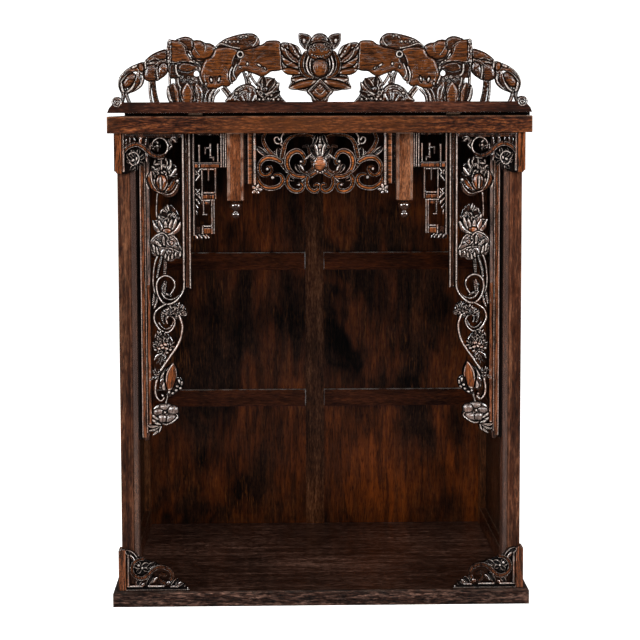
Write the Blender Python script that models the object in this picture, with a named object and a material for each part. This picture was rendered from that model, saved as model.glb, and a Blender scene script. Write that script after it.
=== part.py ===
"""Carved hardwood shrine cabinet: an open alcove under a hanging openwork apron, with a folding crest.

The cabinet's front faces -Y, +X is to its right as seen from the front and +Z is up.
The origin is at the bottom centre of the base board. Lengths are in metres, except in the
carving, where the forms are laid out in millimetres on the plane of their own panel.
"""
import math

import bmesh
import bpy
import numpy as np
from mathutils import Vector
from mathutils.geometry import delaunay_2d_cdt

MM = 0.001

# Driving dimensions of the case
CASE_WIDTH = 0.700
CASE_DEPTH = 0.540
BASE_THICKNESS = 0.026
BASE_EDGE_ROUND = 0.0040
TOP_UNDERSIDE_Z = 0.7926
TOP_THICKNESS = 0.0278
TOP_EDGE_ROUND = 0.0010
SIDE_OVERHANG = 0.015
GAP = 0.0003

# Corner posts and the frames of the sides and back
POST_FRONT_SETBACK = 0.014
POST_WIDTH = 0.030
POST_DEPTH = 0.032
POST_BEAD_RADIUS = 0.0044
POST_QUIRK = 0.0012
FRAME_THICKNESS = 0.0165
REAR_STILE_WIDTH = 0.046
BACK_FACE_DEPTH = 0.5185
BACK_THICKNESS = 0.016
BACK_PANEL_RECESS = 0.0045
BACK_PANEL_THICKNESS = 0.008
BACK_STILE_WIDTH = 0.035
LOWER_RAIL_Z = (0.258, 0.291)
UPPER_RAIL_Z = (0.523, 0.557)
END_RAIL_HEIGHT = 0.034
SIDE_PANEL_THICKNESS = 0.0040
SIDE_PANEL_OUTER_RECESS = 0.0008
PANEL_TONGUE = 0.0035

# Apron that hangs under the top board
APRON_SETBACK = 0.016
APRON_THICKNESS = 0.016
FRET_SETBACK = 0.018
FRET_THICKNESS = 0.0125
FRET_OUTER_X = 0.2141
PENDANT_X = 0.1402
PENDANT_WIDTH = 0.0272
PENDANT_LENGTH = 0.1115
PENDANT_SETBACK = 0.0155
PENDANT_CHAMFER = 0.0020
FINIAL_PROFILE = ((0.0005, 0.0060), (0.0050, 0.0105), (0.0110, 0.0112), (0.0185, 0.0055), (0.0240, 0.0080),
                  (0.0315, 0.0025))
BRACKET_SETBACK = 0.0050
BRACKET_THICKNESS = 0.0087
BRACKET_RETURN = 0.030

# Crest: rail and openwork, folding forward on two butt hinges
CREST_GAP = 0.0058
CREST_RAIL_HEIGHT = 0.0174
CREST_RAIL_DEPTH = 0.020
CREST_SETBACK = 0.0005
CREST_CARVING_SETBACK = 0.0020
CREST_CARVING_THICKNESS = 0.017
CREST_CARVING_HEIGHT = 0.1122
BATTEN_X = (-0.3215, 0.347)
BATTEN_SETBACK = 0.0135
BATTEN_DEPTH = 0.006
HINGE_X = (-0.2045, 0.2188)
HINGE_LENGTH = 0.022
HINGE_LEAF_DEPTH = 0.012
HINGE_LEAF_THICKNESS = 0.0014
KNUCKLE_RADIUS = 0.0025
KNUCKLE_BORE = 0.00135
PIN_RADIUS = 0.00105
PIN_PROUD = 0.0012
KNUCKLE_COUNT = 3
ROUND_SIDES = 8

# Places worked out from those sizes
KNUCKLE_FRONT = PIN_PROUD + KNUCKLE_RADIUS
FRONT_Y = -(CASE_DEPTH + KNUCKLE_FRONT) / 2 + KNUCKLE_FRONT
BACK_Y = FRONT_Y + CASE_DEPTH
POST_OUTER_X = CASE_WIDTH / 2 - SIDE_OVERHANG
POST_INNER_X = POST_OUTER_X - POST_WIDTH
FRAME_INNER_X = POST_OUTER_X - FRAME_THICKNESS
TOP_Z = TOP_UNDERSIDE_Z + TOP_THICKNESS
RAIL_BOTTOM_Z = TOP_Z + CREST_GAP
RAIL_TOP_Z = RAIL_BOTTOM_Z + CREST_RAIL_HEIGHT
FLOOR_Z = BASE_THICKNESS + GAP
CEILING_Z = TOP_UNDERSIDE_Z - GAP
PIN_Y = FRONT_Y - PIN_PROUD
PIN_Z = TOP_Z + CREST_GAP / 2


def wood(name, colour, roughness):
    """A plain lacquered wood."""
    material = bpy.data.materials.new(name)
    material.use_nodes = True
    shader = material.node_tree.nodes["Principled BSDF"]
    shader.inputs["Base Color"].default_value = (*colour, 1.0)
    shader.inputs["Roughness"].default_value = roughness
    return material


def metal(name, colour, roughness):
    """A plain dark metal."""
    material = wood(name, colour, roughness)
    material.node_tree.nodes["Principled BSDF"].inputs["Metallic"].default_value = 1.0
    return material


def add_object(name, vertices, faces, material, parent=None):
    """A named mesh object made of world-space points, moved so that its origin is its parent's."""
    offset = Vector(parent.location) if parent else Vector((0.0, 0.0, 0.0))
    mesh = bpy.data.meshes.new(name)
    mesh.from_pydata([tuple(Vector(v) - offset) for v in vertices], [], faces)
    mesh.materials.append(material)
    mesh.validate()
    item = bpy.data.objects.new(name, mesh)
    bpy.context.collection.objects.link(item)
    item.parent = parent
    return item


def prism(name, profile, axis, start, stop, material, parent=None):
    """A profile of points extruded along an axis: X takes (y, z) points, Y (x, z) and Z (x, y)."""
    def place(point, along):
        a, b = point
        return {"X": (along, a, b), "Y": (a, along, b), "Z": (a, b, along)}[axis]
    area = sum(p[0] * q[1] - q[0] * p[1] for p, q in zip(profile, profile[1:] + profile[:1]))
    ring = list(profile) if (area > 0) != (axis == "Y") else list(reversed(profile))
    count = len(ring)
    vertices = [place(p, start) for p in ring] + [place(p, stop) for p in ring]
    faces = [tuple(reversed(range(count))), tuple(range(count, 2 * count))]
    for i in range(count):
        j = (i + 1) % count
        faces.append((i, j, count + j, count + i))
    return add_object(name, vertices, faces, material, parent)


def box(name, low, high, material, parent=None):
    """A rectangular block between two corners."""
    profile = [(low[0], low[1]), (high[0], low[1]), (high[0], high[1]), (low[0], high[1])]
    return prism(name, profile, "Z", low[2], high[2], material, parent)


def round_edges(item, width, segments=1):
    """A Bevel modifier on an object's sharp edges."""
    bevel = item.modifiers.new("edge round", "BEVEL")
    bevel.width = width
    bevel.segments = segments
    bevel.limit_method = "ANGLE"
    return item


def mirrored(points, side):
    """Points of the left half, or their mirror images when side is +1."""
    return [(-side * p[0], p[1]) for p in points]


# The carver's kit: every form is an outline and the lines along which it stands highest
FINE_MERGE_MM = 0.12
COARSE_MERGE_MM = 0.7
CHAIN_TOLERANCE_MM = 1.2
PINCH_MM = 1.2


class Form:
    """One carved form in millimetres, as high as low at its outline and high on its crests."""

    def __init__(self, outline, crests, low, high):
        self.outline = np.array(outline, float)
        self.crests = [np.array(line, float) for line in crests]
        self.low = low
        self.high = high

    def mirror(self):
        flip = np.array([-1.0, 1.0])
        return Form(self.outline[::-1] * flip, [line * flip for line in self.crests], self.low, self.high)


def smooth(points, per_span=2, closed=False):
    """A Catmull-Rom curve through the points."""
    p = np.array(points, float)
    if closed:
        p = np.vstack([p[-1], p, p[0], p[1]])
    else:
        p = np.vstack([2 * p[0] - p[1], p, 2 * p[-1] - p[-2]])
    out = []
    for a, b, c, d in zip(p[:-3], p[1:-2], p[2:-1], p[3:]):
        for k in range(per_span):
            t = k / per_span
            out.append(0.5 * (2 * b + (c - a) * t + (2 * a - 5 * b + 4 * c - d) * t * t
                              + (3 * b - a - 3 * c + d) * t ** 3))
    if not closed:
        out.append(p[-2])
    return np.array(out)


def arc(centre, radius, start, stop, steps):
    """Points of a circular arc, or of a spiral where radius is a pair, between angles in degrees."""
    first, last = radius if isinstance(radius, tuple) else (radius, radius)
    out = []
    for k in range(steps + 1):
        t = k / steps
        angle = math.radians(start + (stop - start) * t)
        r = first + (last - first) * t
        out.append((centre[0] + r * math.cos(angle), centre[1] + r * math.sin(angle)))
    return np.array(out)


def normals(path):
    """Unit normals to the left of a path."""
    along = np.gradient(path, axis=0)
    along /= np.maximum(np.linalg.norm(along, axis=1, keepdims=True), 1e-9)
    return np.stack([-along[:, 1], along[:, 0]], 1)


def band(path, width, low, high, start=0.6, stop=0.6):
    """A rounded strap along a path, whose ends have the stated shares of its width."""
    path = np.array(path, float)
    t = np.linspace(0.0, 1.0, len(path))
    share = np.minimum(1.0, np.minimum(start + (1 - start) * t * 4, stop + (1 - stop) * (1 - t) * 4))
    half = (width / 2 * share)[:, None]
    side = normals(path) * half
    outline = np.vstack([path + side, (path - side)[::-1]])
    return Form(outline, [path[1:-1]], low, high)


def petal(base, tip, width, low, high, bend=0.0, belly=0.55, foot=0.35):
    """A pointed petal or leaf from base to tip, bent sideways by a share of its length."""
    base = np.array(base, float)
    tip = np.array(tip, float)
    axis = tip - base
    across = np.array([-axis[1], axis[0]])
    t = np.array([0.0, 0.25, belly, 0.82, 1.0])
    spine = base + axis * t[:, None] + across * (bend * 4 * t * (1 - t))[:, None]
    half = width / 2 * np.array([foot, 0.8, 1.0, 0.62, 0.0])
    side = normals(spine) * half[:, None]
    outline = np.vstack([(spine + side)[:-1], spine[-1:], (spine - side)[:-1][::-1]])
    return Form(outline, [spine[1:4]], low, high)


def ring_of(outline, share):
    """A closed crest line inside an outline, through every second point drawn in towards the middle."""
    middle = outline.mean(axis=0)
    ring = (middle + (outline - middle) * share)[::2]
    return np.vstack([ring, ring[:1]])


def oval(centre, half_width, half_height, low, high, tilt=0.0, sides=8):
    """A rounded boss: a small one comes to a point and a large one has a broad top."""
    angle = np.arange(sides) * 2 * math.pi / sides + math.pi / sides
    x = half_width * np.cos(angle)
    y = half_height * np.sin(angle)
    turn = math.radians(tilt)
    outline = np.stack([centre[0] + x * math.cos(turn) - y * math.sin(turn),
                        centre[1] + x * math.sin(turn) + y * math.cos(turn)], 1)
    crest = [centre] if half_width < 7.0 else ring_of(outline, 0.5)
    return Form(outline, [crest], low, high)


def leaf(points, low, high, share=0.5):
    """A broad leaf with an outline through the points and a raised middle."""
    outline = np.array(points, float)
    return Form(outline, [ring_of(outline, share)], low, high)


def slab(x0, x1, y0, y1, low, high=None, inset=2.0):
    """A straight bar: flat at low where high is left out, or rounded over along its edges."""
    outline = [(x0, y0), (x1, y0), (x1, y1), (x0, y1)]
    if high is None:
        return Form(outline, [], low, low)
    a, b, c, d = x0 + inset, x1 - inset, y0 + inset, y1 - inset
    return Form(outline, [[(a, c), (b, c), (b, d), (a, d), (a, c)]], low, high)


def wound(points, starts, ends):
    """Which points the directed edges wind around."""
    x, y = points[:, 0:1], points[:, 1:2]
    left = (ends[:, 0] - starts[:, 0]) * (y - starts[:, 1]) - (x - starts[:, 0]) * (ends[:, 1] - starts[:, 1])
    up = (starts[:, 1] <= y) & (ends[:, 1] > y) & (left > 0)
    down = (ends[:, 1] <= y) & (starts[:, 1] > y) & (left < 0)
    return (up.sum(axis=1) - down.sum(axis=1)) != 0


def topmost(points, forms, clip):
    """The index of the last form that covers each point inside the clip rectangle, or -1."""
    top = np.full(len(points), -1)
    for index, form in enumerate(forms):
        top[wound(points, form.outline, np.roll(form.outline, -1, axis=0))] = index
    left, bottom, right, above = clip
    x, y = points[:, 0], points[:, 1]
    top[(x < left) | (x > right) | (y < bottom) | (y > above)] = -1
    return top


def triangulate(points, edges, merge=FINE_MERGE_MM):
    """A constrained Delaunay triangulation: its points, its triangles and each edge's input edges."""
    result = delaunay_2d_cdt([Vector(p) for p in points], edges, [], 0, merge, True)
    verts = np.array([tuple(v) for v in result[0]])
    faces = [tuple(f) for f in result[2]]
    origins = {tuple(sorted(e)): ids for e, ids in zip(result[1], result[4]) if ids}
    return verts, faces, origins


def edge_faces(faces):
    """The faces on each edge."""
    table = {}
    for index, face in enumerate(faces):
        for a, b in zip(face, face[1:] + face[:1]):
            table.setdefault(tuple(sorted((a, b))), []).append(index)
    return table


def simplify(verts, edges):
    """Chains of edges without the points that stand less than the tolerance off a longer edge."""
    near = {}
    passed = {}
    for a, b in edges:
        near.setdefault(a, set()).add(b)
        near.setdefault(b, set()).add(a)
        passed[frozenset((a, b))] = []
    changed = True
    while changed:
        changed = False
        for v in sorted(near):
            if len(near[v]) != 2:
                continue
            a, b = sorted(near[v])
            chord = verts[b] - verts[a]
            length = float(np.hypot(*chord))
            if b in near[a] or length < 1e-6:
                continue
            between = passed[frozenset((a, v))] + passed[frozenset((v, b))] + [v]
            reach = verts[between] - verts[a]
            if np.abs(chord[0] * reach[:, 1] - chord[1] * reach[:, 0]).max() > CHAIN_TOLERANCE_MM * length:
                continue
            near[a].remove(v)
            near[b].remove(v)
            near[a].add(b)
            near[b].add(a)
            del near[v]
            passed[frozenset((a, b))] = between
            changed = True
    return {(a, b) for a in near for b in near[a] if a < b}


def visible_lines(forms, clip):
    """The points and edges that show: outlines of what lies on top, and its crests."""
    left, bottom, right, above = clip
    points = [(left, bottom), (right, bottom), (right, above), (left, above)]
    edges = [(0, 1), (1, 2), (2, 3), (3, 0)]
    owner = [None] * 4
    for index, form in enumerate(forms):
        lines = [(form.outline, True)] + [(line, False) for line in form.crests]
        for number, (line, closed) in enumerate(lines):
            first = len(points)
            points += [tuple(p) for p in line]
            for k in range(len(line) if closed else len(line) - 1):
                edges.append((first + k, first + (k + 1) % len(line)))
                owner.append((index, number > 0))
    verts, faces, origins = triangulate(points, edges)
    centres = np.array([verts[list(f)].mean(axis=0) for f in faces])
    top = topmost(centres, forms, clip)
    kept = set()
    for edge, sides in edge_faces(faces).items():
        tops = [top[s] for s in sides] + [-1] * (2 - len(sides))
        crest = tops[0] >= 0 and any(owner[i] == (tops[0], True) for i in origins.get(edge, ()))
        if tops[0] != tops[1] or crest:
            kept.add(edge)
    kept = simplify(verts, kept)
    used = sorted({v for edge in kept for v in edge})
    number = {v: i for i, v in enumerate(used)}
    points = [tuple(verts[v]) for v in used]
    peaks = [(tuple(form.crests[0][0]), i) for i, form in enumerate(forms)
             if form.crests and len(form.crests[0]) == 1]
    if peaks:
        over = topmost(np.array([p for p, _ in peaks]), forms, clip)
        points += [p for (p, i), t in zip(peaks, over) if t == i]
    return points, [(number[a], number[b]) for a, b in kept]


def carve(forms, clip):
    """The front of forms laid over each other: points, triangles, heights and directed rim edges."""
    verts, faces, _ = triangulate(*visible_lines(forms, clip), COARSE_MERGE_MM)
    centres = np.array([verts[list(f)].mean(axis=0) for f in faces])
    pairs = [(f, t) for f, t in zip(faces, topmost(centres, forms, clip)) if t >= 0]
    faces = [f for f, _ in pairs]
    table = edge_faces(faces)
    rim = [(a, b) for face in faces for a, b in zip(face, face[1:] + face[:1])
           if len(table[tuple(sorted((a, b)))]) == 1]
    border = {v for edge in rim for v in edge}
    around = {}
    for face, t in pairs:
        for v in face:
            around.setdefault(v, set()).add(t)
    height = np.zeros(len(verts))
    for v, tops in around.items():
        valley = v in border or len(tops) > 1
        height[v] = min(forms[t].low for t in tops) if valley else max(forms[t].high for t in tops)
    return verts, faces, height, rim


def pinches(rim):
    """The rim's points where more than one loop meets."""
    count = {}
    for a, _ in rim:
        count[a] = count.get(a, 0) + 1
    return [v for v, n in count.items() if n > 1]


def relief(name, forms, place, material, clip, parent=None, mirror=False):
    """A closed solid of laid-over forms with a flat back; place turns (u, v, height) into a point."""
    forms = list(forms)
    level = min(form.low for form in forms)
    for _ in range(5):
        verts, faces, height, rim = carve(forms, clip)
        pinched = pinches(rim)
        if not pinched:
            break
        forms = [oval(verts[v], PINCH_MM, PINCH_MM, level, level, sides=6) for v in pinched] + forms
    border = sorted({v for edge in rim for v in edge})
    number = {v: i for i, v in enumerate(border)}
    back_verts, back_faces, _ = triangulate([verts[v] for v in border],
                                            [(number[a], number[b]) for a, b in rim])
    centres = np.array([back_verts[list(f)].mean(axis=0) for f in back_faces])
    covered = wound(centres, verts[[a for a, _ in rim]], verts[[b for _, b in rim]])
    used = sorted({v for face in faces for v in face})
    front = {v: i for i, v in enumerate(used)}
    points = [place(verts[v][0], verts[v][1], height[v]) for v in used]
    base = len(points)
    points += [place(p[0], p[1], 0.0) for p in back_verts]
    solid = [tuple(front[v] for v in face) for face in faces]
    solid += [tuple(base + v for v in reversed(face)) for face, keep in zip(back_faces, covered) if keep]
    solid += [(front[b], front[a], base + number[a], base + number[b]) for a, b in rim]
    if mirror:
        solid = [tuple(reversed(face)) for face in solid]
    return add_object(name, points, solid, material, parent)


def on_panel(x_origin, z_origin, back_y, mirror=False):
    """The place function of a panel whose back is at back_y; mirror gives its twin on the right."""
    way = -1.0 if mirror else 1.0

    def place(u, v, height):
        return ((x_origin + u * MM) * way, back_y - height * MM, z_origin + v * MM)
    return place


# Shared motifs
def fan(centre, reach, width, angles, low, high, foot=0.5):
    """Petals that spread from one point, each at an angle in degrees."""
    out = []
    for angle in angles:
        turn = math.radians(angle)
        tip = (centre[0] + reach * math.cos(turn), centre[1] + reach * math.sin(turn))
        out.append(petal(centre, tip, width, low, high, foot=foot))
    return out


SIDE_LOW = 9.0
SIDE_HIGH = 15.5


def side_forms():
    """The hanging side of the apron: moulded strips, lotus flowers, leaves and two scrolls."""
    low, high = SIDE_LOW, SIDE_HIGH
    strip = [slab(0.3, 6.0, -512.0, -0.3, 8.0),
             slab(5.6, 12.4, -514.0, -0.3, 12.0, 14.0, 1.5),
             slab(12.4, 23.0, -508.0, -0.3, 12.0, 15.8, 2.5),
             slab(76.0, 82.0, -252.0, -0.3, 12.0, 15.5, 1.8),
             slab(82.0, 90.6, -258.0, -0.3, 12.0, 15.5, 2.2)]
    first = [leaf([(27, -70), (29, -52), (36, -44), (43, -40), (52, -46), (60, -42), (68, -55), (67, -72),
                   (50, -78)], low, 13.0),
             petal((62, -98), (75, -74), 15, low, 14.0, -0.15),
             petal((42, -104), (68, -92), 11, low, 14.5, -0.25, foot=0.6),
             oval((42, -82), 13.0, 16.0, low, high, sides=8)]
    stem = [band(smooth([(39, -96), (36, -110), (34, -124), (34, -142)], 1), 4.5, low, 13.0, 1.0, 1.0)]
    second = fan((50, -158), 33.0, 13.0, (112, 88, 66), low, 12.5)
    second += [petal((48, -164), (29, -144), 15, low, 13.5, 0.2, foot=0.5),
               petal((53, -166), (72, -143), 15, low, 13.5, -0.2, foot=0.5),
               leaf([(36, -146), (46, -143), (56, -143), (64, -148), (62, -160), (52, -168), (41, -163)],
                    low, high)]
    folded = [leaf([(22, -178), (32, -169), (46, -167), (54, -173), (64, -172), (74, -184), (79, -198),
                    (72, -211), (62, -208), (52, -214), (44, -206), (34, -204), (26, -202), (23, -190)],
                   low, 13.0),
              petal((44, -176), (31, -200), 15, low, high, 0.1, foot=0.6),
              petal((52, -180), (54, -213), 15, low, 14.5, 0.0, foot=0.6),
              petal((58, -178), (71, -208), 13, low, high, 0.1, foot=0.6)]
    stalks = [band(smooth([(35, -202), (30, -222), (27, -242), (27, -266)], 1), 7.0, low, 13.5, 1.0, 1.0),
              band(smooth([(44, -206), (38, -225), (36, -244)], 1), 8.0, low, 12.5, 1.0, 1.0)]
    upper_scroll = [(78.5, -246), (77.5, -258), (73, -269), (64, -278), (52, -282), (42, -277), (35, -266),
                    (33, -252), (37, -242), (47, -237), (58, -241), (64, -251), (62, -262), (55, -267)]
    spiral = [petal((46, -276), (46, -246), 12, low, 12.5, 0.1, foot=0.5),
              leaf([(23, -268), (32, -270), (38, -284), (32, -292), (23, -288)], low, 12.5),
              band(smooth(upper_scroll, 2), 5.2, low, high, 1.0, 0.7)]
    lower_scroll = [(44, -281), (34, -290), (28, -300), (26, -311), (30, -322), (38, -331), (48, -333),
                    (57, -326), (61, -315), (57, -306), (48, -306)]
    spiral += [petal((41, -331), (40, -300), 10, low, 12.0, 0.1, foot=0.8)]
    spiral += [leaf([(45, -303), (46, -294), (56, -286), (67, -283), (79, -288), (80, -299), (74, -308),
                     (60, -306)], low, 12.5, 0.6),
               petal((68, -304), (52, -290), 10, low, high, foot=0.6),
               petal((71, -304), (74, -284), 10, low, high, foot=0.6),
               band(smooth(lower_scroll, 2), 5.0, low, high, 0.9, 0.7)]
    flower = [leaf([(22, -356), (28, -344), (40, -339), (53, -342), (58, -354), (54, -368), (42, -374),
                    (28, -370)], low, 12.0, 0.6),
              petal((42, -372), (38, -342), 15, low, high, 0.05, foot=0.6)]
    flower += [leaf([(22, -390), (33, -388), (40, -398), (32, -412), (22, -410)], low, 12.5),
               petal((54, -428), (60, -380), 22, low, high, 0.02, foot=0.5),
               petal((42, -418), (50, -388), 12, low, 13.0, 0.1, foot=0.6)]
    flower += [leaf([(62, -406), (73, -408), (75, -420), (70, -430), (58, -435), (48, -430), (58, -424)],
                    low, 14.0)]
    snake = [(68, -300), (72, -318), (72, -336), (67, -356), (57, -372), (44, -386), (34, -401), (28, -417),
             (27, -432), (32, -443), (41, -442), (42, -434)]
    flower += [band(smooth(snake, 2), 5.4, low, high, 1.0, 0.8),
               band(smooth([(49, -428), (47, -440), (45, -452)], 1), 6.5, low, 13.0, 1.0, 1.0)]
    last = [leaf([(22, -470), (30, -462), (34, -476), (36, -490), (24, -492), (18, -484)], low, 13.0)]
    last += [leaf([(30, -456), (40, -446), (52, -448), (66, -454), (70, -466), (66, -478), (52, -487),
                   (38, -484), (31, -472)], low, 12.5, 0.6),
             petal((47, -470), (40, -448), 14, low, high, foot=0.5),
             petal((46, -464), (66, -472), 13, low, high, foot=0.5)]
    last += [petal((12, -484), (35, -502), 13, low, 13.5, 0.05, foot=0.7),
             petal((10, -494), (20, -507), 9, low, 13.0, 0.0, foot=0.7)]
    return strip + stalks + folded + second + first + stem + last + flower + spiral


CREST_LOW = 8.5
CREST_HIGH = 15.5


def crest_half():
    """The left half of the crest's openwork: lotus leaves, buds and flowers above the rail."""
    low, high = CREST_LOW, CREST_HIGH
    bud = [band([(-327, -0.0), (-324, 10), (-327, 22)], 9.0, low, 12.0, 1.0, 0.8),
           band([(-315, -0.0), (-318, 8), (-320, 22)], 8.0, low, 12.0, 1.0, 0.8),
           petal((-321, 14), (-310, 58), 20, low, 12.5, 0.30, foot=0.5),
           petal((-316, 14), (-288, 66), 19, low, 13.0, -0.30, foot=0.4),
           petal((-324, 20), (-300, 56), 20, low, high, 0.02, foot=0.6),
           oval((-333, 1), 8.2, 8.4, 10.0, 15.0, sides=6)]
    cluster = [band([(-271, -0.0), (-275, 16), (-276, 36)], 11.0, low, 12.5, 1.5, 1.0),
               leaf([(-287, 66), (-276, 77), (-264, 83), (-252, 86), (-245, 72), (-246, 58), (-252, 46),
                     (-261, 39), (-272, 34), (-284, 35), (-291, 44)], low, 12.5),
               petal((-290, 36), (-262, 66), 22, low, 14.0, 0.2, foot=0.6),
               petal((-262, 34), (-250, 66), 17, low, 14.5, 0.1, foot=0.5)]
    upright = [leaf([(-250, 62), (-251, 80), (-247, 99), (-236, 101.5), (-224, 99), (-216, 86), (-212, 74),
                     (-200, 64), (-212, 58), (-236, 60)], low, 13.5, 0.6),
               leaf([(-236, 100), (-226, 106), (-214, 105), (-203, 102), (-190, 96), (-176, 94), (-171, 84),
                     (-178, 74), (-194, 66), (-208, 72), (-218, 86)], low, 12.5, 0.6),
               petal((-247, 60), (-245, 101), 11, low, high, 0.0, foot=0.6)]
    flower = [band([(-244, 24), (-246, 42), (-244, 60)], 8.0, low, 12.0, 1.0, 1.0),
              leaf([(-236, 26), (-240, 44), (-234, 60), (-216, 62), (-202, 62), (-190, 54), (-189, 30),
                    (-190, -0.0), (-212, -0.0), (-236, -0.0)], low, 12.0),
              petal((-241, -4), (-245, 29), 19, low, 14.0, 0.12, foot=0.5),
              petal((-199, -4), (-206, 30), 19, low, 14.0, -0.12, foot=0.5),
              petal((-218, -6), (-218, 31), 22, low, high, 0.0, foot=0.6),
              band(smooth([(-236, 46), (-226, 40), (-214, 40), (-203, 46)], 1), 10.0, low, 14.5, 0.7, 0.7)]
    broad = [leaf([(-196, 46), (-192, 64), (-180, 76), (-168, 88), (-150, 91), (-137, 86), (-135, 72),
                   (-145, 55), (-147, 42), (-145, 31), (-157, 25), (-170, 21), (-184, 24), (-192, 33)],
                  low, 14.0, 0.6),
             band([(-180, -0.0), (-181, 12), (-172, 26)], 12.0, low, 12.5, 1.4, 0.8),
             band([(-148, -0.0), (-150, 12), (-158, 26)], 9.0, low, 12.5, 1.2, 0.8),
             leaf([(-170, 90), (-164, 99), (-148, 107), (-129, 112), (-111, 112.2), (-101, 105), (-98, 95),
                   (-110, 88), (-128, 84), (-146, 88)], low, high, 0.55)]
    ragged = [leaf([(-138, 60), (-131, 72), (-130, 86), (-112, 90), (-98, 94), (-86, 100), (-72, 100.5),
                    (-63, 95), (-60, 76), (-58, 58), (-66, 51), (-78, 49), (-92, 41), (-106, 43), (-118, 49),
                    (-130, 48), (-138, 38), (-147, 44)], low, 13.0, 0.62),
              oval((-131, 77), 6.5, 6.5, low, high, sides=6),
              petal((-126, 52), (-90, 70), 17, low, high, 0.1, foot=0.6),
              petal((-92, 50), (-70, 92), 20, low, 14.5, 0.05, foot=0.6)]
    pods = [band([(-118, 20), (-118, 36), (-121, 52)], 12.0, low, 12.0, 1.0, 1.0),
            leaf([(-152, -0.0), (-149, 11), (-138, 23), (-122, 29), (-108, 25), (-98, 12), (-94, -0.0)],
                 low, high, 0.5),
            leaf([(-99, -0.0), (-99, 28), (-90, 41), (-76, 38), (-69, 27), (-65, 14), (-56, -0.0)],
                 low, 12.0, 0.5),
            petal((-92, 10), (-72, 37), 14, low, 15.0, 0.1, foot=0.6),
            petal((-90, 4), (-66, 20), 12, low, high, 0.1, foot=0.6)]
    wing = [leaf([(-65, 92), (-58, 97.5), (-46, 95.5), (-36, 91), (-30, 80), (-30, 44), (-46, 43.5), (-56, 47),
                  (-62, 56), (-62, 76)], low, 13.0, 0.6),
            petal((-62, 96), (-36, 62), 17, low, high, 0.0, foot=0.5)]
    return bud + cluster + upright + flower + broad + ragged + pods + wing


def crest_forms():
    """Both halves of the crest's openwork and the tall lotus in the middle."""
    low, high = CREST_LOW, CREST_HIGH
    left = crest_half()
    lobes = [petal((-8, 34), (-51, 30), 24, low, 13.0, 0.10, foot=0.6),
             petal((-10, 30), (-50, 21), 16, low, high, -0.10, foot=0.6),
             petal((-22, 78), (-34, 113), 15, low, 14.5, 0.12, foot=0.6),
             petal((-8, 36), (-22, 84), 30, low, 13.5, 0.28, foot=0.6),
             petal((-5, 40), (-14, 78), 18, low, 14.5, 0.22, foot=0.6)]
    left += lobes
    pod = [oval((0, 83), 23.0, 16.0, low, high, sides=12)]
    front = [leaf([(-20, 94), (-14, 104), (-7, 111), (7, 111), (14, 104), (20, 94), (0, 90)], low, 12.0),
             leaf([(0, 39), (-22, 17), (-11, -0.0), (11, -0.0), (22, 17)], low, high, 0.5),
             petal((0, 34), (0, 76), 25, low, 16.0, 0.0, belly=0.5, foot=0.7)]
    return front[:1] + left + [form.mirror() for form in left] + pod + front[1:]


CENTRE_LOW = 9.0
CENTRE_HIGH = 15.0


def centre_half():
    """The left half of the apron's middle panel: leafy C and S scrolls beside a moulded strip."""
    low, high = CENTRE_LOW, CENTRE_HIGH
    rail = [slab(-119.5, 0.0, -3.5, -0.3, low)]
    strip = [slab(-126.4, -119.5, -84.0, -0.3, low),
             slab(-119.5, -111.0, -84.0, -0.3, 12.0),
             slab(-111.0, -105.2, -86.0, -0.3, 12.0, high, 1.8)]
    stem = [(-92, -1), (-96, -12), (-92, -25), (-80, -37), (-68, -48), (-58, -60), (-48, -69), (-34, -73),
            (-18, -71), (-6, -64)]
    scroll_a = [(-70, -47), (-80, -41), (-92, -41), (-101, -49), (-103, -60), (-97, -68), (-87, -68),
                (-81, -61), (-85, -54)]
    scroll_b = [(-106, -74), (-100, -84), (-90, -91), (-78, -93), (-66, -88), (-61, -78), (-66, -69),
                (-75, -68), (-77, -75)]
    scroll_c = [(-47, -69), (-55, -58), (-56, -44), (-50, -32), (-38, -28), (-28, -33), (-25, -42),
                (-31, -48)]
    foot_a = [(-54, -71), (-55, -84), (-49, -94), (-39, -98), (-30, -94), (-29, -86), (-34, -83)]
    foot_b = [(-20, -72), (-21, -84), (-16, -94), (-8, -97), (-2, -91), (-6, -85)]
    top_arc = [(-62, -36), (-61, -22), (-54, -10), (-40, -4), (-24, -4), (-12, -9), (-9, -18), (-15, -24)]
    holder = [(-34, -62), (-26, -66), (-15, -62), (-11, -50), (-15, -38), (-19, -26), (-10, -20), (-1, -20)]
    leaves = [petal((-84, -38), (-105, -21), 10, low, 13.0, 0.05),
              petal((-60, -46), (-71, -24), 12, low, 13.0, 0.05),
              petal((-26, -64), (-38, -48), 9, low, 13.0, 0.1),
              band(arc((-71, -9), 7.0, 90, -150, 4), 5.5, low, 13.0, 1.0, 0.8),
              petal((-20, -22), (-5, -1), 11, low, 13.0, -0.1)]
    ornament = [band(smooth(top_arc, 1), 6.0, low, 13.5, 1.0, 0.6),
                band(smooth(holder, 1), 6.0, low, 14.0, 0.6, 1.0),
                band(smooth(stem, 1), 6.5, low, 14.5, 1.0, 1.0)]
    scrolls = [band(smooth(scroll_a, 2), 7.5, low, high, 0.9, 0.8),
               band(smooth(scroll_b, 2), 8.0, low, high, 0.9, 0.7),
               band(smooth(scroll_c, 2), 8.5, low, high, 0.9, 0.6),
               band(smooth(foot_a, 2), 7.5, low, high, 0.9, 0.8),
               band(smooth(foot_b, 2), 7.0, low, high, 0.9, 0.8)]
    bead = [oval((-105.5, -93), 9.0, 8.5, low, 14.5, sides=8)]
    return rail + leaves + ornament + scrolls + strip + bead


def centre_forms():
    """The whole middle panel, with the bud where its halves meet."""
    half = centre_half()
    bud = [oval((0, -49), 9.5, 14.0, CENTRE_LOW, 16.0, sides=10),
           petal((0, -38), (0, -6), 15, CENTRE_LOW, 13.5)]
    return half + [form.mirror() for form in half] + bud


FRET_HIGH = 12.5


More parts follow.
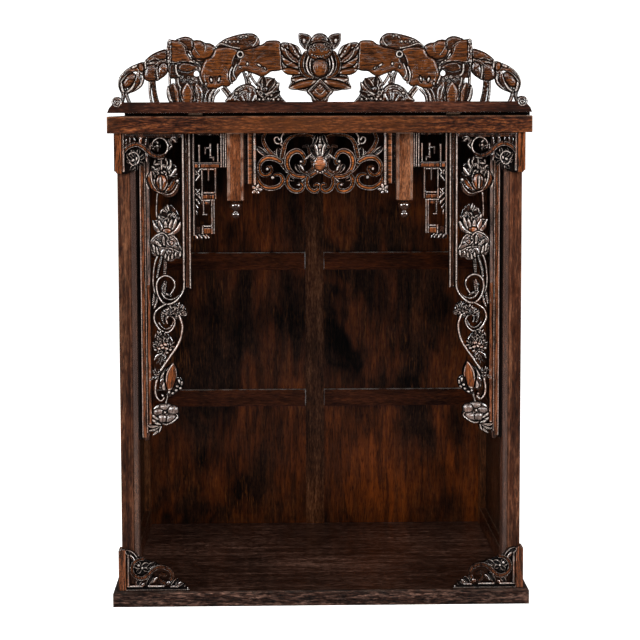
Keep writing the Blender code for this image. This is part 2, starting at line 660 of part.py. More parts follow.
def fret_forms():
    """The key fret between the side of the apron and the pendant, as square-edged bars."""
    level = FRET_HIGH
    bars = [(-214.1, -207, -170, -0.3), (-214.1, -154, -4, -0.3), (-202, -197.5, -57, -0.3),
            (-208, -154, -57, -48), (-165, -154, -57, -0.3), (-182.5, -178.5, -42, -4),
            (-190.5, -178.5, -26, -22), (-208, -197, -78, -57), (-197.5, -193, -109, -57),
            (-186.5, -182.5, -79, -57), (-175.5, -170.5, -109, -57), (-208, -170.5, -109, -97),
            (-208, -175, -118, -109), (-181.5, -174.5, -167, -109), (-194.5, -191, -135, -118),
            (-208, -174.5, -167, -155), (-211, -185, -176, -167)]
    return [slab(a, b, c, d, level) for a, b, c, d in bars]


BRACKET_LOW = 4.6
BRACKET_HIGH = 8.4


def bracket_top_forms():
    """Upper corner bracket: an ear on the post, a strip under the board and a leafy S scroll."""
    low, high = BRACKET_LOW, BRACKET_HIGH
    ear = [Form([(-339.5, -0.3), (-339.5, -60), (-335, -66), (-326, -66), (-326, -0.3)], [], 7.5, 7.5),
           slab(-326.0, -320.5, -62.0, -0.3, 5.0, 8.2, 1.8),
           slab(-326.0, -228.0, -6.5, -0.3, 7.0)]
    sweep = [(-322, -32), (-314, -22), (-302, -17.5), (-291, -22), (-282, -31), (-272, -37), (-260, -38),
             (-251, -31), (-249, -20), (-256, -11), (-267, -9), (-275, -18)]
    leaves = [leaf([(-326, -30), (-326, -66), (-314, -65), (-303, -57), (-291, -46), (-281, -34), (-296, -28),
                    (-312, -24)], low, 6.5, 0.55),
              petal((-292, -36), (-318, -56), 14, low, 7.8, foot=0.6),
              petal((-302, -20), (-294, -3), 11, low, 7.5),
              petal((-318, -26), (-312, -3), 9, low, 7.0),
              petal((-250, -24), (-268, -20), 9, low, 7.5, foot=0.8),
              leaf([(-254, -22), (-256, -5), (-226, -4), (-236, -16), (-247, -27)], low, 7.5)]
    return ear + leaves + [band(smooth(sweep, 2), 5.8, low, high, 1.0, 0.7)]


def bracket_foot_forms():
    """Lower corner bracket: an ear on the post and a leafy S scroll that falls to the base."""
    low, high = BRACKET_LOW, BRACKET_HIGH
    ear = [Form([(-340.5, 0.3), (-340.5, 67), (-335.5, 73), (-326, 67), (-326, 0.3)], [], 7.5, 7.5),
           slab(-326.0, -321.5, 0.3, 60.0, 5.0, 8.2, 1.5),
           slab(-326.0, -226.0, 0.3, 4.0, 7.5)]
    sweep = [(-318, 50), (-321, 38), (-315, 26), (-304, 20), (-292, 25), (-283, 35), (-272, 41), (-260, 40),
             (-251, 31), (-250, 19), (-259, 11), (-269, 15), (-272, 25)]
    leaves = [leaf([(-326, 66), (-326, 48), (-306, 28), (-290, 34), (-270, 42), (-290, 50), (-308, 57)],
                   low, 6.8, 0.55),
              petal((-296, 38), (-324, 52), 13, low, 7.8, foot=0.6),
              petal((-312, 2), (-300, 22), 12, low, 7.5, foot=0.7),
              petal((-286, 2), (-276, 28), 13, low, 7.5, foot=0.7),
              leaf([(-258, 3), (-250, 21), (-241, 20), (-233, 11), (-222, 0.3), (-240, 0.3)], low, 7.5)]
    return ear + leaves + [band(smooth(sweep, 2), 5.8, low, high, 1.0, 0.7)]


def rail_profile():
    """The crest rail seen from the front, with shoulders that lean in at its ends."""
    shoulder = [(0.3495, -0.0174), (0.3462, -0.0095), (0.3410, -0.0040), (0.3380, 0.0)]
    half = [(x, RAIL_TOP_Z + drop) for x, drop in shoulder]
    return half + [(-x, z) for x, z in reversed(half)]


# The case
def make_boards(finish):
    """The base board, which is the alcove's floor, and the top board."""
    half = CASE_WIDTH / 2
    base = box("base_board", (-half, FRONT_Y, 0.0), (half, BACK_Y, BASE_THICKNESS), finish)
    bevel = round_edges(base, BASE_EDGE_ROUND, 3).modifiers[0]
    bevel.limit_method = "WEIGHT"
    weight = base.data.attributes.new("bevel_weight_edge", "FLOAT", "EDGE")
    for edge in base.data.edges:
        heights = [base.data.vertices[v].co.z for v in edge.vertices]
        if min(heights) > BASE_THICKNESS / 2:
            weight.data[edge.index].value = 1.0
    top = box("top_board", (-half, FRONT_Y, TOP_UNDERSIDE_Z), (half, BACK_Y, TOP_Z), finish)
    round_edges(top, TOP_EDGE_ROUND)


def front_post_profile(side):
    """A square post in plan, with a bead and quirk down its inner front corner."""
    front = FRONT_Y + POST_FRONT_SETBACK
    back = front + POST_DEPTH
    bead_x = POST_INNER_X + POST_BEAD_RADIUS
    bead_y = front + POST_BEAD_RADIUS
    arc_points = arc((-bead_x, bead_y), POST_BEAD_RADIUS, 180, 360, 6)
    left = [(-POST_OUTER_X, back), (-POST_OUTER_X, front)]
    quirk_x = -bead_x - POST_BEAD_RADIUS - POST_QUIRK
    left += [(quirk_x, front), (quirk_x, bead_y)]
    left += [tuple(p) for p in arc_points]
    left += [(-POST_INNER_X, back)]
    return mirrored(left, side)


def make_posts(finish):
    """The two front posts and the rear stiles of the side frames."""
    back = FRONT_Y + BACK_FACE_DEPTH + BACK_THICKNESS
    for side, word in ((-1, "left"), (1, "right")):
        prism(f"front_post_{word}", front_post_profile(side), "Z", FLOOR_Z, CEILING_Z, finish)
        groove_y = FRONT_Y + BACK_FACE_DEPTH + BACK_PANEL_RECESS
        outer = POST_OUTER_X
        inner = FRAME_INNER_X
        slot = inner + PANEL_TONGUE
        ledge = outer - SIDE_PANEL_OUTER_RECESS - SIDE_PANEL_THICKNESS - GAP
        front = back - REAR_STILE_WIDTH
        profile = [(inner, front), (ledge, front), (ledge, front + PANEL_TONGUE), (outer, front + PANEL_TONGUE),
                   (outer, back), (inner, back), (inner, groove_y + BACK_PANEL_THICKNESS + GAP),
                   (slot, groove_y + BACK_PANEL_THICKNESS + GAP), (slot, groove_y - GAP),
                   (inner, groove_y - GAP)]
        prism(f"rear_stile_{word}", [(side * x, y) for x, y in profile], "Z", FLOOR_Z, CEILING_Z, finish)


def rail_heights():
    """The side frames' rails, from the floor up: name, bottom and top."""
    return [("bottom", FLOOR_Z, BASE_THICKNESS + END_RAIL_HEIGHT), ("lower", *LOWER_RAIL_Z),
            ("upper", *UPPER_RAIL_Z), ("top", TOP_UNDERSIDE_Z - END_RAIL_HEIGHT, CEILING_Z)]


def make_sides(finish, panel_finish):
    """The side frames' rails and the thin panels let into them from outside."""
    front = FRONT_Y + POST_FRONT_SETBACK + POST_DEPTH + GAP
    back = FRONT_Y + BACK_FACE_DEPTH + BACK_THICKNESS - REAR_STILE_WIDTH - GAP
    outer = POST_OUTER_X
    panel_outer = outer - SIDE_PANEL_OUTER_RECESS
    panel_inner = panel_outer - SIDE_PANEL_THICKNESS
    ledge = panel_inner - GAP
    rails = rail_heights()
    for side, word in ((-1, "left"), (1, "right")):
        for name, low, high in rails:
            cut_low = low if name == "bottom" else low + PANEL_TONGUE
            cut_high = high if name == "top" else high - PANEL_TONGUE
            corners = [(FRAME_INNER_X, low, high), (ledge, low, high), (ledge, cut_low, cut_high),
                       (outer, cut_low, cut_high)]
            profile = [(x, a) for x, a, _ in corners] + [(x, b) for x, _, b in reversed(corners)]
            kept = [p for k, p in enumerate(profile) if p not in profile[:k]]
            prism(f"side_rail_{name}_{word}", [(side * x, z) for x, z in kept], "Y", front, back, finish)
        panels = zip(("bottom", "middle", "top"), rails[:-1], rails[1:])
        for name, below, above in panels:
            low = (min(side * panel_inner, side * panel_outer), front, below[2] - PANEL_TONGUE + GAP)
            high = (max(side * panel_inner, side * panel_outer), back + PANEL_TONGUE,
                    above[1] + PANEL_TONGUE - GAP)
            box(f"side_panel_{name}_{word}", low, high, panel_finish)


def grooved_rail(y_front, y_back, low, high, groove_front, groove_back):
    """The section of a back rail with a groove for the panels along each long edge."""
    return [(y_front, low), (groove_front, low), (groove_front, low + PANEL_TONGUE),
            (groove_back, low + PANEL_TONGUE), (groove_back, low), (y_back, low), (y_back, high),
            (groove_back, high), (groove_back, high - PANEL_TONGUE), (groove_front, high - PANEL_TONGUE),
            (groove_front, high), (y_front, high)]


def make_back(finish, panel_finish):
    """The back: a middle stile, two rails on each side of it and six panels."""
    front = FRONT_Y + BACK_FACE_DEPTH
    back = front + BACK_THICKNESS
    groove_front = front + BACK_PANEL_RECESS - GAP
    groove_back = front + BACK_PANEL_RECESS + BACK_PANEL_THICKNESS + GAP
    half = BACK_STILE_WIDTH / 2
    section = grooved_rail(front, back, -half, half, groove_front, groove_back)
    prism("back_stile_centre", [(x, y) for y, x in section], "Z", FLOOR_Z, CEILING_Z, finish)
    inner = half + GAP
    outer = FRAME_INNER_X - GAP
    for side, word in ((-1, "left"), (1, "right")):
        reach = sorted((side * inner, side * outer))
        for name, (low, high) in (("lower", LOWER_RAIL_Z), ("upper", UPPER_RAIL_Z)):
            section = grooved_rail(front, back, low, high, groove_front, groove_back)
            prism(f"back_rail_{name}_{word}", section, "X", reach[0], reach[1], finish)
        tongue = PANEL_TONGUE - GAP
        levels = (("bottom", FLOOR_Z, LOWER_RAIL_Z[0] + tongue),
                  ("middle", LOWER_RAIL_Z[1] - tongue, UPPER_RAIL_Z[0] + tongue),
                  ("top", UPPER_RAIL_Z[1] - tongue, CEILING_Z))
        for name, low, high in levels:
            box(f"back_panel_{name}_{word}", (reach[0] - tongue, groove_front + GAP, low),
                (reach[1] + tongue, groove_back - GAP, high), panel_finish)


# The apron, the brackets and the crest
def make_apron(carved, plain):
    """The hanging carved sides, the key frets, the middle panel and the turned pendants."""
    back = FRONT_Y + APRON_SETBACK + APRON_THICKNESS
    fret_back = FRONT_Y + FRET_SETBACK + FRET_THICKNESS
    gap = GAP / MM
    side_edge = (POST_INNER_X - FRET_OUTER_X) / MM - gap
    side_clip = (gap, -600.0, side_edge, -gap)
    pendant_inner = (PENDANT_X - PENDANT_WIDTH / 2) / MM
    pendant_outer = (PENDANT_X + PENDANT_WIDTH / 2) / MM
    fret_clip = (-FRET_OUTER_X / MM, -600.0, -pendant_outer - gap, -gap)
    centre_clip = (-pendant_inner + gap, -600.0, pendant_inner - gap, -gap)
    side = side_forms()
    fret = fret_forms()
    for way, word in ((-1, "left"), (1, "right")):
        mirror = way > 0
        relief(f"apron_side_{word}", side, on_panel(-POST_INNER_X, TOP_UNDERSIDE_Z, back, mirror), carved,
               side_clip, mirror=mirror)
        relief(f"key_fret_{word}", fret, on_panel(0.0, TOP_UNDERSIDE_Z, fret_back, mirror), carved,
               fret_clip, mirror=mirror)
        make_pendant(f"pendant_{word}", way * PENDANT_X, plain)
    relief("apron_centre", centre_forms(), on_panel(0.0, TOP_UNDERSIDE_Z, back), carved, centre_clip)


def make_pendant(name, centre_x, finish):
    """A square hanging post with chamfered edges and a turned finial below it."""
    half = PENDANT_WIDTH / 2
    flat = half - PENDANT_CHAMFER
    steps = [flat * k for k in (-1, 0, 1)]
    square = [(half, t) for t in steps] + [(-t, half) for t in steps]
    square += [(-half, -t) for t in steps] + [(t, -half) for t in steps]
    turns = [math.atan2(y, x) for x, y in square]
    rings = [[(x, y, -GAP) for x, y in square], [(x, y, -PENDANT_LENGTH) for x, y in square]]
    for drop, radius in FINIAL_PROFILE:
        rings.append([(radius * math.cos(t), radius * math.sin(t), -PENDANT_LENGTH - drop) for t in turns])
    centre_y = FRONT_Y + PENDANT_SETBACK + half
    vertices = [(centre_x + x, centre_y + y, TOP_UNDERSIDE_Z + z) for ring in rings for x, y, z in ring]
    count = len(square)
    faces = [tuple(range(count))]
    for level in range(len(rings) - 1):
        for k in range(count):
            a = level * count + k
            b = level * count + (k + 1) % count
            faces.append((a, a + count, b + count, b))
    faces.append(tuple(reversed(range((len(rings) - 1) * count, len(rings) * count))))
    add_object(name, vertices, faces, finish)


def make_brackets(carved):
    """Four corner brackets, each with a plain return along the side of its post."""
    back = FRONT_Y + POST_FRONT_SETBACK - GAP
    gap = GAP / MM
    kinds = (("top", bracket_top_forms(), TOP_UNDERSIDE_Z, (-400.0, -100.0, 0.0, -gap), (-62.0, -gap)),
             ("foot", bracket_foot_forms(), BASE_THICKNESS, (-400.0, gap, 0.0, 100.0), (gap, 68.0)))
    for name, forms, z, clip, reach in kinds:
        outer = -forms[0].outline[:, 0].min() * MM - GAP / 2
        for way, word in ((-1, "left"), (1, "right")):
            mirror = way > 0
            front = relief(f"bracket_{name}_{word}", forms, on_panel(0.0, z, back, mirror), carved, clip,
                           mirror=mirror)
            xs = sorted((way * (POST_OUTER_X + GAP), way * outer))
            wing = box(f"return_{name}_{word}", (xs[0], back - 0.003, z + reach[0] * MM),
                       (xs[1], back + BRACKET_RETURN, z + reach[1] * MM), carved)
            combine(front, wing, "UNION")


def make_crest(carved, plain, iron):
    """The batten, the folding crest and its two butt hinges."""
    fold = bpy.data.objects.new("crest_fold_axis", None)
    fold.location = (0.0, PIN_Y, PIN_Z)
    bpy.context.collection.objects.link(fold)
    batten_front = FRONT_Y + BATTEN_SETBACK
    box("crest_batten", (BATTEN_X[0], batten_front, TOP_Z + GAP),
        (BATTEN_X[1], batten_front + BATTEN_DEPTH, RAIL_BOTTOM_Z - GAP), plain)
    rail_front = FRONT_Y + CREST_SETBACK
    prism("crest_rail", rail_profile(), "Y", rail_front, rail_front + CREST_RAIL_DEPTH, plain, fold)
    carving_back = FRONT_Y + CREST_CARVING_SETBACK + CREST_CARVING_THICKNESS
    clip = (-400.0, GAP / MM, 400.0, CREST_CARVING_HEIGHT / MM)
    relief("crest_carving", crest_forms(), on_panel(0.0, RAIL_TOP_Z, carving_back), carved, clip, fold)
    for word, centre in zip(("left", "right"), HINGE_X):
        make_hinge(word, centre, iron, fold)


def round_bar(name, radius, start, stop, material, parent=None):
    """A round bar along the hinge's axis."""
    turns = [2 * math.pi * k / ROUND_SIDES for k in range(ROUND_SIDES)]
    profile = [(PIN_Y + radius * math.cos(a), PIN_Z + radius * math.sin(a)) for a in turns]
    return prism(name, profile, "X", start, stop, material, parent)


def combine(item, tool, operation):
    """A Boolean modifier whose tool is a wire guide, left out of the model itself."""
    tool.hide_render = True
    tool.display_type = "WIRE"
    modifier = item.modifiers.new(tool.name, "BOOLEAN")
    modifier.operation = operation
    modifier.solver = "EXACT"
    modifier.object = tool


def make_hinge(word, centre, iron, fold):
    """A butt hinge: a lower leaf with two knuckles, an upper one with one between them, and a pin."""
    start = centre - HINGE_LENGTH / 2
    stop = centre + HINGE_LENGTH / 2
    pitch = HINGE_LENGTH / KNUCKLE_COUNT
    levels = {"lower": (TOP_Z + GAP, TOP_Z + GAP + HINGE_LEAF_THICKNESS),
              "upper": (RAIL_BOTTOM_Z - GAP - HINGE_LEAF_THICKNESS, RAIL_BOTTOM_Z - GAP)}
    room = KNUCKLE_RADIUS + GAP
    for level, own in (("lower", (0, 2)), ("upper", (1,))):
        parent = fold if level == "upper" else None
        low, high = levels[level]
        plate = box(f"hinge_{word}_{level}_leaf", (start, PIN_Y, low), (stop, FRONT_Y + HINGE_LEAF_DEPTH, high),
                    iron, parent)
        for k in range(KNUCKLE_COUNT):
            a = start + k * pitch
            b = a + pitch
            tag = f"{word}_{level}_{k}"
            if k in own:
                bar = round_bar(f"knuckle_{tag}", KNUCKLE_RADIUS, a + GAP / 2, b - GAP / 2, iron, parent)
                combine(plate, bar, "UNION")
            else:
                notch = box(f"notch_{tag}", (a - GAP / 2, PIN_Y - room, PIN_Z - room),
                            (b + GAP / 2, PIN_Y + room, PIN_Z + room), iron, parent)
                combine(plate, notch, "DIFFERENCE")
        bore = round_bar(f"bore_{word}_{level}", KNUCKLE_BORE, start - MM, stop + MM, iron, parent)
        combine(plate, bore, "DIFFERENCE")
    round_bar(f"hinge_{word}_pin", PIN_RADIUS, start - GAP, stop + GAP, iron)


def main():
    for item in list(bpy.data.objects):
        bpy.data.objects.remove(item, do_unlink=True)
    frame_wood = wood("frame wood", (0.105, 0.040, 0.016), 0.38)
    panel_wood = wood("panel wood", (0.085, 0.036, 0.014), 0.5)
    carved_wood = wood("carved wood", (0.095, 0.038, 0.018), 0.32)
    iron = metal("hinge iron", (0.10, 0.09, 0.08), 0.5)
    make_boards(frame_wood)
    make_posts(frame_wood)
    make_sides(frame_wood, panel_wood)
    make_back(frame_wood, panel_wood)
    make_apron(carved_wood, frame_wood)
    make_brackets(carved_wood)
    make_crest(carved_wood, frame_wood, iron)


main()
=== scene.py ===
import math

import bpy
import numpy as np
from mathutils import Matrix, Vector
from mathutils.geometry import delaunay_2d_cdt


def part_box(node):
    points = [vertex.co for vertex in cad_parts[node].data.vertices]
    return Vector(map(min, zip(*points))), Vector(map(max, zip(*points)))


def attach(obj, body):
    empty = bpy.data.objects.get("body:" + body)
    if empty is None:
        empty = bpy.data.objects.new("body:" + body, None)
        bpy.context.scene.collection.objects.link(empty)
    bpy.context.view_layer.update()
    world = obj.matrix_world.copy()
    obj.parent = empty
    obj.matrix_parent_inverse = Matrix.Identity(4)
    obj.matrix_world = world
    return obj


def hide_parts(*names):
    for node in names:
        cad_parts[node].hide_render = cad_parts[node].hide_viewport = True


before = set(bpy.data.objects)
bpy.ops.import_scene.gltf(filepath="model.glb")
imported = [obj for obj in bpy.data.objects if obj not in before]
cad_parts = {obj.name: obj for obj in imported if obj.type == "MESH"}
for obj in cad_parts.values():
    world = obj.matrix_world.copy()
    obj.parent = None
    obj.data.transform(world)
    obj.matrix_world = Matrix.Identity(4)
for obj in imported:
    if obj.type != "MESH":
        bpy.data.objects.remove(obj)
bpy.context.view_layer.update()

MM = 0.001

# Places read from the frame
FRONT_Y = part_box("base_board")[0].y
BACK_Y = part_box("base_board")[1].y
UNDERSIDE_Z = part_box("top_board")[0].z
RAIL_TOP_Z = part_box("crest_rail")[1].z
BASE_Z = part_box("base_board")[1].z
POST_OUTER_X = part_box("front_post_right")[1].x
POST_INNER_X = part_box("front_post_right")[0].x

# How far behind the front each board's flat back stands
APRON_SETBACK = 0.032
FRET_SETBACK = 0.0305
BRACKET_SETBACK = 0.0137
CREST_SETBACK = 0.019
RAIL_SETBACK = 0.0205
VOLUTE_SETBACK = 0.0037

# The brackets' ears, whose returns run back along the posts' outer sides
EAR_GAP = 0.0003
EAR_FRONT_MM = 7.0
EAR_BACK_MM = 43.7
TOP_EAR_REACH_MM = -62.0
FOOT_EAR_REACH_MM = 68.0

# The photograph's camera
LENS_MM = 106.875
SENSOR_MM = 36.0
CAMERA_PLACE = (-0.07198, -3.39928, 0.83331)
CAMERA_PITCH = math.radians(5.411)
CAMERA_YAW = math.radians(1.2964)
CAMERA_ROLL = math.radians(-0.17)
CAMERA_SHIFT = -0.05

# The studio: light from the sky, and a sheet of paper that rises behind the farthest camera
SKY_LIGHT = 0.07
PAPER_HALF_WIDTH = 9.0
PAPER_BEND_Y = 4.2
PAPER_BEND_RADIUS = 1.2
PAPER_TOP_Z = 9.0
PAPER_GLOW = 0.36
PAPER_GLOW_SEEN = 0.85

# The soft boxes: name, place, target, width, height and power
SOFT_BOXES = (("front box", (-0.1, -2.6, 2.6), (0.0, -0.2, 0.5), 1.8, 0.8, 34.0),
              ("left box", (-2.3, -1.8, 1.7), (0.0, -0.2, 0.6), 1.1, 1.1, 74.0),
              ("right box", (2.3, -1.8, 1.7), (0.0, -0.2, 0.6), 1.1, 1.1, 70.0),
              ("back box left", (-2.2, 2.0, 2.0), (0.0, 0.0, 0.5), 1.2, 1.2, 16.0),
              ("back box right", (2.2, 2.0, 2.0), (0.0, 0.0, 0.5), 1.2, 1.2, 16.0))

# The angles between faces, in degrees, from which an edge stays sharp
CARVED_SHARP_ANGLE = 62.0
SOLID_SHARP_ANGLE = 40.0

# How wide the solids' edges are softened
EDGE_ROUNDING = 0.0008
BACK_FRAME_ROUNDING = 0.002

# How far round each place its rises, ridges and hollows are measured for the painted shade, sheen and
# highlights, in millimetres
BROAD_REACH = 4.5
FINE_REACH = 1.4
HOLLOW_REACH = 1.6

# How many triangles of a flat back are tested at once
BACK_BLOCK = 2000


def make_camera():
    """The camera at the photograph's viewing angle."""
    level = math.cos(CAMERA_PITCH)
    ahead = Vector((math.sin(CAMERA_YAW) * level, math.cos(CAMERA_YAW) * level, -math.sin(CAMERA_PITCH)))
    right = Vector((math.cos(CAMERA_YAW), -math.sin(CAMERA_YAW), 0.0))
    up = right.cross(ahead)
    right_rolled = right * math.cos(CAMERA_ROLL) + up * math.sin(CAMERA_ROLL)
    up_rolled = up * math.cos(CAMERA_ROLL) - right * math.sin(CAMERA_ROLL)
    data = bpy.data.cameras.new("photo camera")
    data.lens = LENS_MM
    data.sensor_width = SENSOR_MM
    data.shift_y = CAMERA_SHIFT
    data.clip_end = 50.0
    item = bpy.data.objects.new("photo camera", data)
    bpy.context.scene.collection.objects.link(item)
    turn = Matrix((right_rolled, up_rolled, -ahead)).transposed()
    item.matrix_world = Matrix.Translation(CAMERA_PLACE) @ turn.to_4x4()
    bpy.context.scene.camera = item


def area_light(name, place, target, width, height, power):
    """A soft box that faces a target."""
    data = bpy.data.lights.new(name, "AREA")
    data.energy = power
    data.shape = "RECTANGLE"
    data.size = width
    data.size_y = height
    item = bpy.data.objects.new(name, data)
    bpy.context.scene.collection.objects.link(item)
    item.location = place
    item.rotation_euler = (Vector(target) - Vector(place)).to_track_quat("-Z", "Y").to_euler()


def make_sky():
    """A sky that the camera sees white, that lights the cabinet softly and that its gloss doesn't mirror."""
    world = bpy.data.worlds.new("studio sky")
    world.use_nodes = True
    links, nodes = world.node_tree.links, world.node_tree.nodes
    sky = nodes["Background"]
    sky.inputs["Color"].default_value = (1.0, 1.0, 1.0, 1.0)
    rays = nodes.new("ShaderNodeLightPath").outputs
    level = nodes.new("ShaderNodeMapRange")
    level.inputs["To Min"].default_value = SKY_LIGHT
    level.inputs["To Max"].default_value = 1.0
    links.new(rays["Is Camera Ray"], level.inputs["Value"])
    dimmed = nodes.new("ShaderNodeMapRange")
    dimmed.inputs["To Max"].default_value = 0.0
    links.new(rays["Is Glossy Ray"], dimmed.inputs["Value"])
    links.new(level.outputs["Result"], dimmed.inputs["To Min"])
    links.new(dimmed.outputs["Result"], sky.inputs["Strength"])
    bpy.context.scene.world = world


def studio_paper():
    """White paper with a glow of its own, dark to the rays that the cabinet's gloss sends out."""
    n = Nodes("studio paper")
    rays = n.put("ShaderNodeLightPath").outputs
    mirrored = rays["Is Glossy Ray"]
    lit = n.spread(rays["Is Camera Ray"], 0.0, 1.0, PAPER_GLOW, PAPER_GLOW_SEEN)
    n.feed(n.shader, "Emission Strength", n.spread(mirrored, 0.0, 1.0, lit, 0.0))
    n.feed(n.shader, "Base Color", n.ramp(mirrored, [(0.0, (0.86, 0.86, 0.855)), (1.0, (0.04, 0.04, 0.04))]))
    n.shader.inputs["Emission Color"].default_value = (1.0, 1.0, 1.0, 1.0)
    n.shader.inputs["Roughness"].default_value = 0.9
    n.shader.inputs["Specular IOR Level"].default_value = 0.1
    return n.material


def make_studio():
    """The sky, a pale sweep of floor and wall, and soft boxes: three in front and two behind."""
    bpy.context.scene.view_settings.view_transform = "Standard"
    make_sky()
    run = [(-PAPER_HALF_WIDTH, 0.0), (PAPER_BEND_Y, 0.0)]
    run += [(PAPER_BEND_Y + PAPER_BEND_RADIUS * math.sin(a), PAPER_BEND_RADIUS * (1.0 - math.cos(a)))
            for a in np.linspace(0.0, math.pi / 2, 17)[1:]]
    run += [(PAPER_BEND_Y + PAPER_BEND_RADIUS, PAPER_TOP_Z)]
    points = [(x, y, z) for y, z in run for x in (-PAPER_HALF_WIDTH, PAPER_HALF_WIDTH)]
    faces = [(2 * i, 2 * i + 1, 2 * i + 3, 2 * i + 2) for i in range(len(run) - 1)]
    mesh = bpy.data.meshes.new("floor_sweep")
    mesh.from_pydata(points, [], faces)
    mesh.polygons.foreach_set("use_smooth", [True] * len(faces))
    mesh.materials.append(studio_paper())
    floor = bpy.data.objects.new("floor_sweep", mesh)
    bpy.context.scene.collection.objects.link(floor)
    for soft_box in SOFT_BOXES:
        area_light(*soft_box)


# Materials
class Nodes:
    """Short names for making and linking the nodes of one material."""

    def __init__(self, name):
        self.material = bpy.data.materials.new(name)
        self.material.use_nodes = True
        self.tree = self.material.node_tree
        self.shader = self.tree.nodes["Principled BSDF"]

    def put(self, kind, inputs=(), **settings):
        """A node of a kind, with its settings and its inputs, each a value or another node's output."""
        node = self.tree.nodes.new(kind)
        for key, value in settings.items():
            setattr(node, key, value)
        for key, value in dict(inputs).items():
            self.feed(node, key, value)
        return node

    def feed(self, node, key, value):
        """A value or a link on one input."""
        if isinstance(value, bpy.types.NodeSocket):
            self.tree.links.new(value, node.inputs[key])
        else:
            node.inputs[key].default_value = value

    def place(self):
        """The object's own coordinates."""
        return self.put("ShaderNodeTexCoord").outputs["Object"]

    def facing(self):
        """The surface's normal."""
        return self.put("ShaderNodeNewGeometry").outputs["Normal"]

    def part(self, vector, axis):
        """One coordinate of a vector."""
        return self.put("ShaderNodeSeparateXYZ", {0: vector}).outputs[axis]

    def noise(self, vector, scale, detail=4.0, roughness=0.55, distortion=0.0):
        """A noise texture's value."""
        node = self.put("ShaderNodeTexNoise", {"Vector": vector, "Scale": scale, "Detail": detail,
                                               "Roughness": roughness, "Distortion": distortion})
        return node.outputs["Fac"]

    def stretch(self, vector, scale, turn=(0.0, 0.0, 0.0), shift=(0.0, 0.0, 0.0)):
        """Coordinates scaled by axis."""
        node = self.put("ShaderNodeMapping", {"Vector": vector, "Scale": scale, "Rotation": turn,
                                              "Location": shift})
        return node.outputs["Vector"]

    def drawn(self, vector, axis, across, along, shift=(0.0, 0.0, 0.0)):
        """Coordinates scaled by one number across an axis and by another along it."""
        return self.stretch(vector, [along if name == axis else across for name in "XYZ"], shift=shift)

    def ramp(self, fac, stops):
        """A colour ramp through (place, colour) stops."""
        node = self.put("ShaderNodeValToRGB", {"Fac": fac})
        band = node.color_ramp
        while len(band.elements) < len(stops):
            band.elements.new(0.5)
        for element, (place, colour) in zip(band.elements, stops):
            element.position = place
            element.color = (*colour[:3], 1.0)
        return node.outputs["Color"]

    def spread(self, value, low, high, to_low=0.0, to_high=1.0):
        """A value carried from one range to another, and kept inside it."""
        node = self.put("ShaderNodeMapRange", {"Value": value, "From Min": low, "From Max": high,
                                               "To Min": to_low, "To Max": to_high})
        return node.outputs["Result"]

    def math(self, operation, a, b=0.0):
        """Arithmetic on two values."""
        return self.put("ShaderNodeMath", {0: a, 1: b}, operation=operation).outputs["Value"]

    def times(self, a, b):
        """Two values multiplied."""
        return self.math("MULTIPLY", a, b)

    def mix(self, fac, a, b, blend="MIX"):
        """Two colours mixed."""
        node = self.put("ShaderNodeMix", data_type="RGBA", blend_type=blend)
        for key, value in ((0, fac), (6, a), (7, (*b, 1.0) if isinstance(b, tuple) else b)):
            self.feed(node, key, value)
        return node.outputs[2]

    def tint(self, colour, shade):
        """A colour multiplied by a value."""
        grey = self.put("ShaderNodeCombineColor", {0: shade, 1: shade, 2: shade}).outputs[0]
        return self.mix(1.0, colour, grey, "MULTIPLY")

    def attribute(self, name):
        """A value stored on the mesh."""
        return self.put("ShaderNodeAttribute", attribute_name=name).outputs["Fac"]

    def bump(self, height, distance, strength, normal=None):
        """A bumped normal."""
        node = self.put("ShaderNodeBump", {"Height": height, "Distance": distance, "Strength": strength})
        if normal is not None:
            self.feed(node, "Normal", normal)
        return node.outputs["Normal"]


def rgb(r, g, b):
    """A colour from its 0 to 255 display values."""
    def linear(v):
        v = v / 255.0
        return v / 12.92 if v <= 0.04045 else ((v + 0.055) / 1.055) ** 2.4
    return (linear(r), linear(g), linear(b))


def stained(n, colour, place, axis, stain, amount, size, streaked):
    """Clouds of another colour, brushed out along the grain where streaked is above 0."""
    where = n.noise(n.drawn(place, axis, size, size * 0.45, (4, 2, 1)), 1.0, 3.0, 0.6, 0.6)
    brushed = n.noise(n.drawn(place, axis, 112.0, 13.0), 1.0, 4.0, 0.7, 0.8)
    thin = n.spread(brushed, 0.4, 0.64, 1.0 - streaked, 1.0)
    return n.mix(n.times(n.spread(where, 0.44, 0.7, 0.0, amount), thin), colour, stain)


def scuffed(n, colour, place, scuffs):
    """Pale slanting scratches in worn places."""
    worn = n.spread(n.noise(n.stretch(place, (1.0, 1.0, 1.0), shift=(5, 3, 8)), 7.0, 2.0), 0.48, 0.66)
    scratch = n.noise(n.stretch(place, (300.0, 1.0, 24.0), turn=(0.0, 0.4, 0.0)), 1.0, 3.0, 0.7, 0.8)
    return n.mix(n.times(worn, n.spread(scratch, 0.54, 0.8, 0.0, 0.7)), colour, scuffs)


def edge_wear_and_highlight(n, colour, place, edge):
    """Paler edges: worn varnish and a painted highlight, left off the edges that face down."""
    soft = n.put("ShaderNodeBevel", {"Radius": 0.0035}, samples=4).outputs["Normal"]
    same = n.put("ShaderNodeVectorMath", {0: soft, 1: n.facing()}, operation="DOT_PRODUCT").outputs["Value"]
    rub_and_highlight = n.times(n.spread(same, 0.995, 0.80), n.spread(n.noise(place, 55.0, 3.0), 0.35, 0.6))
    rub_and_highlight = n.times(rub_and_highlight, n.spread(n.part(soft, "Z"), -0.25, -0.05))
    return n.mix(n.times(rub_and_highlight, 0.7), colour, edge)


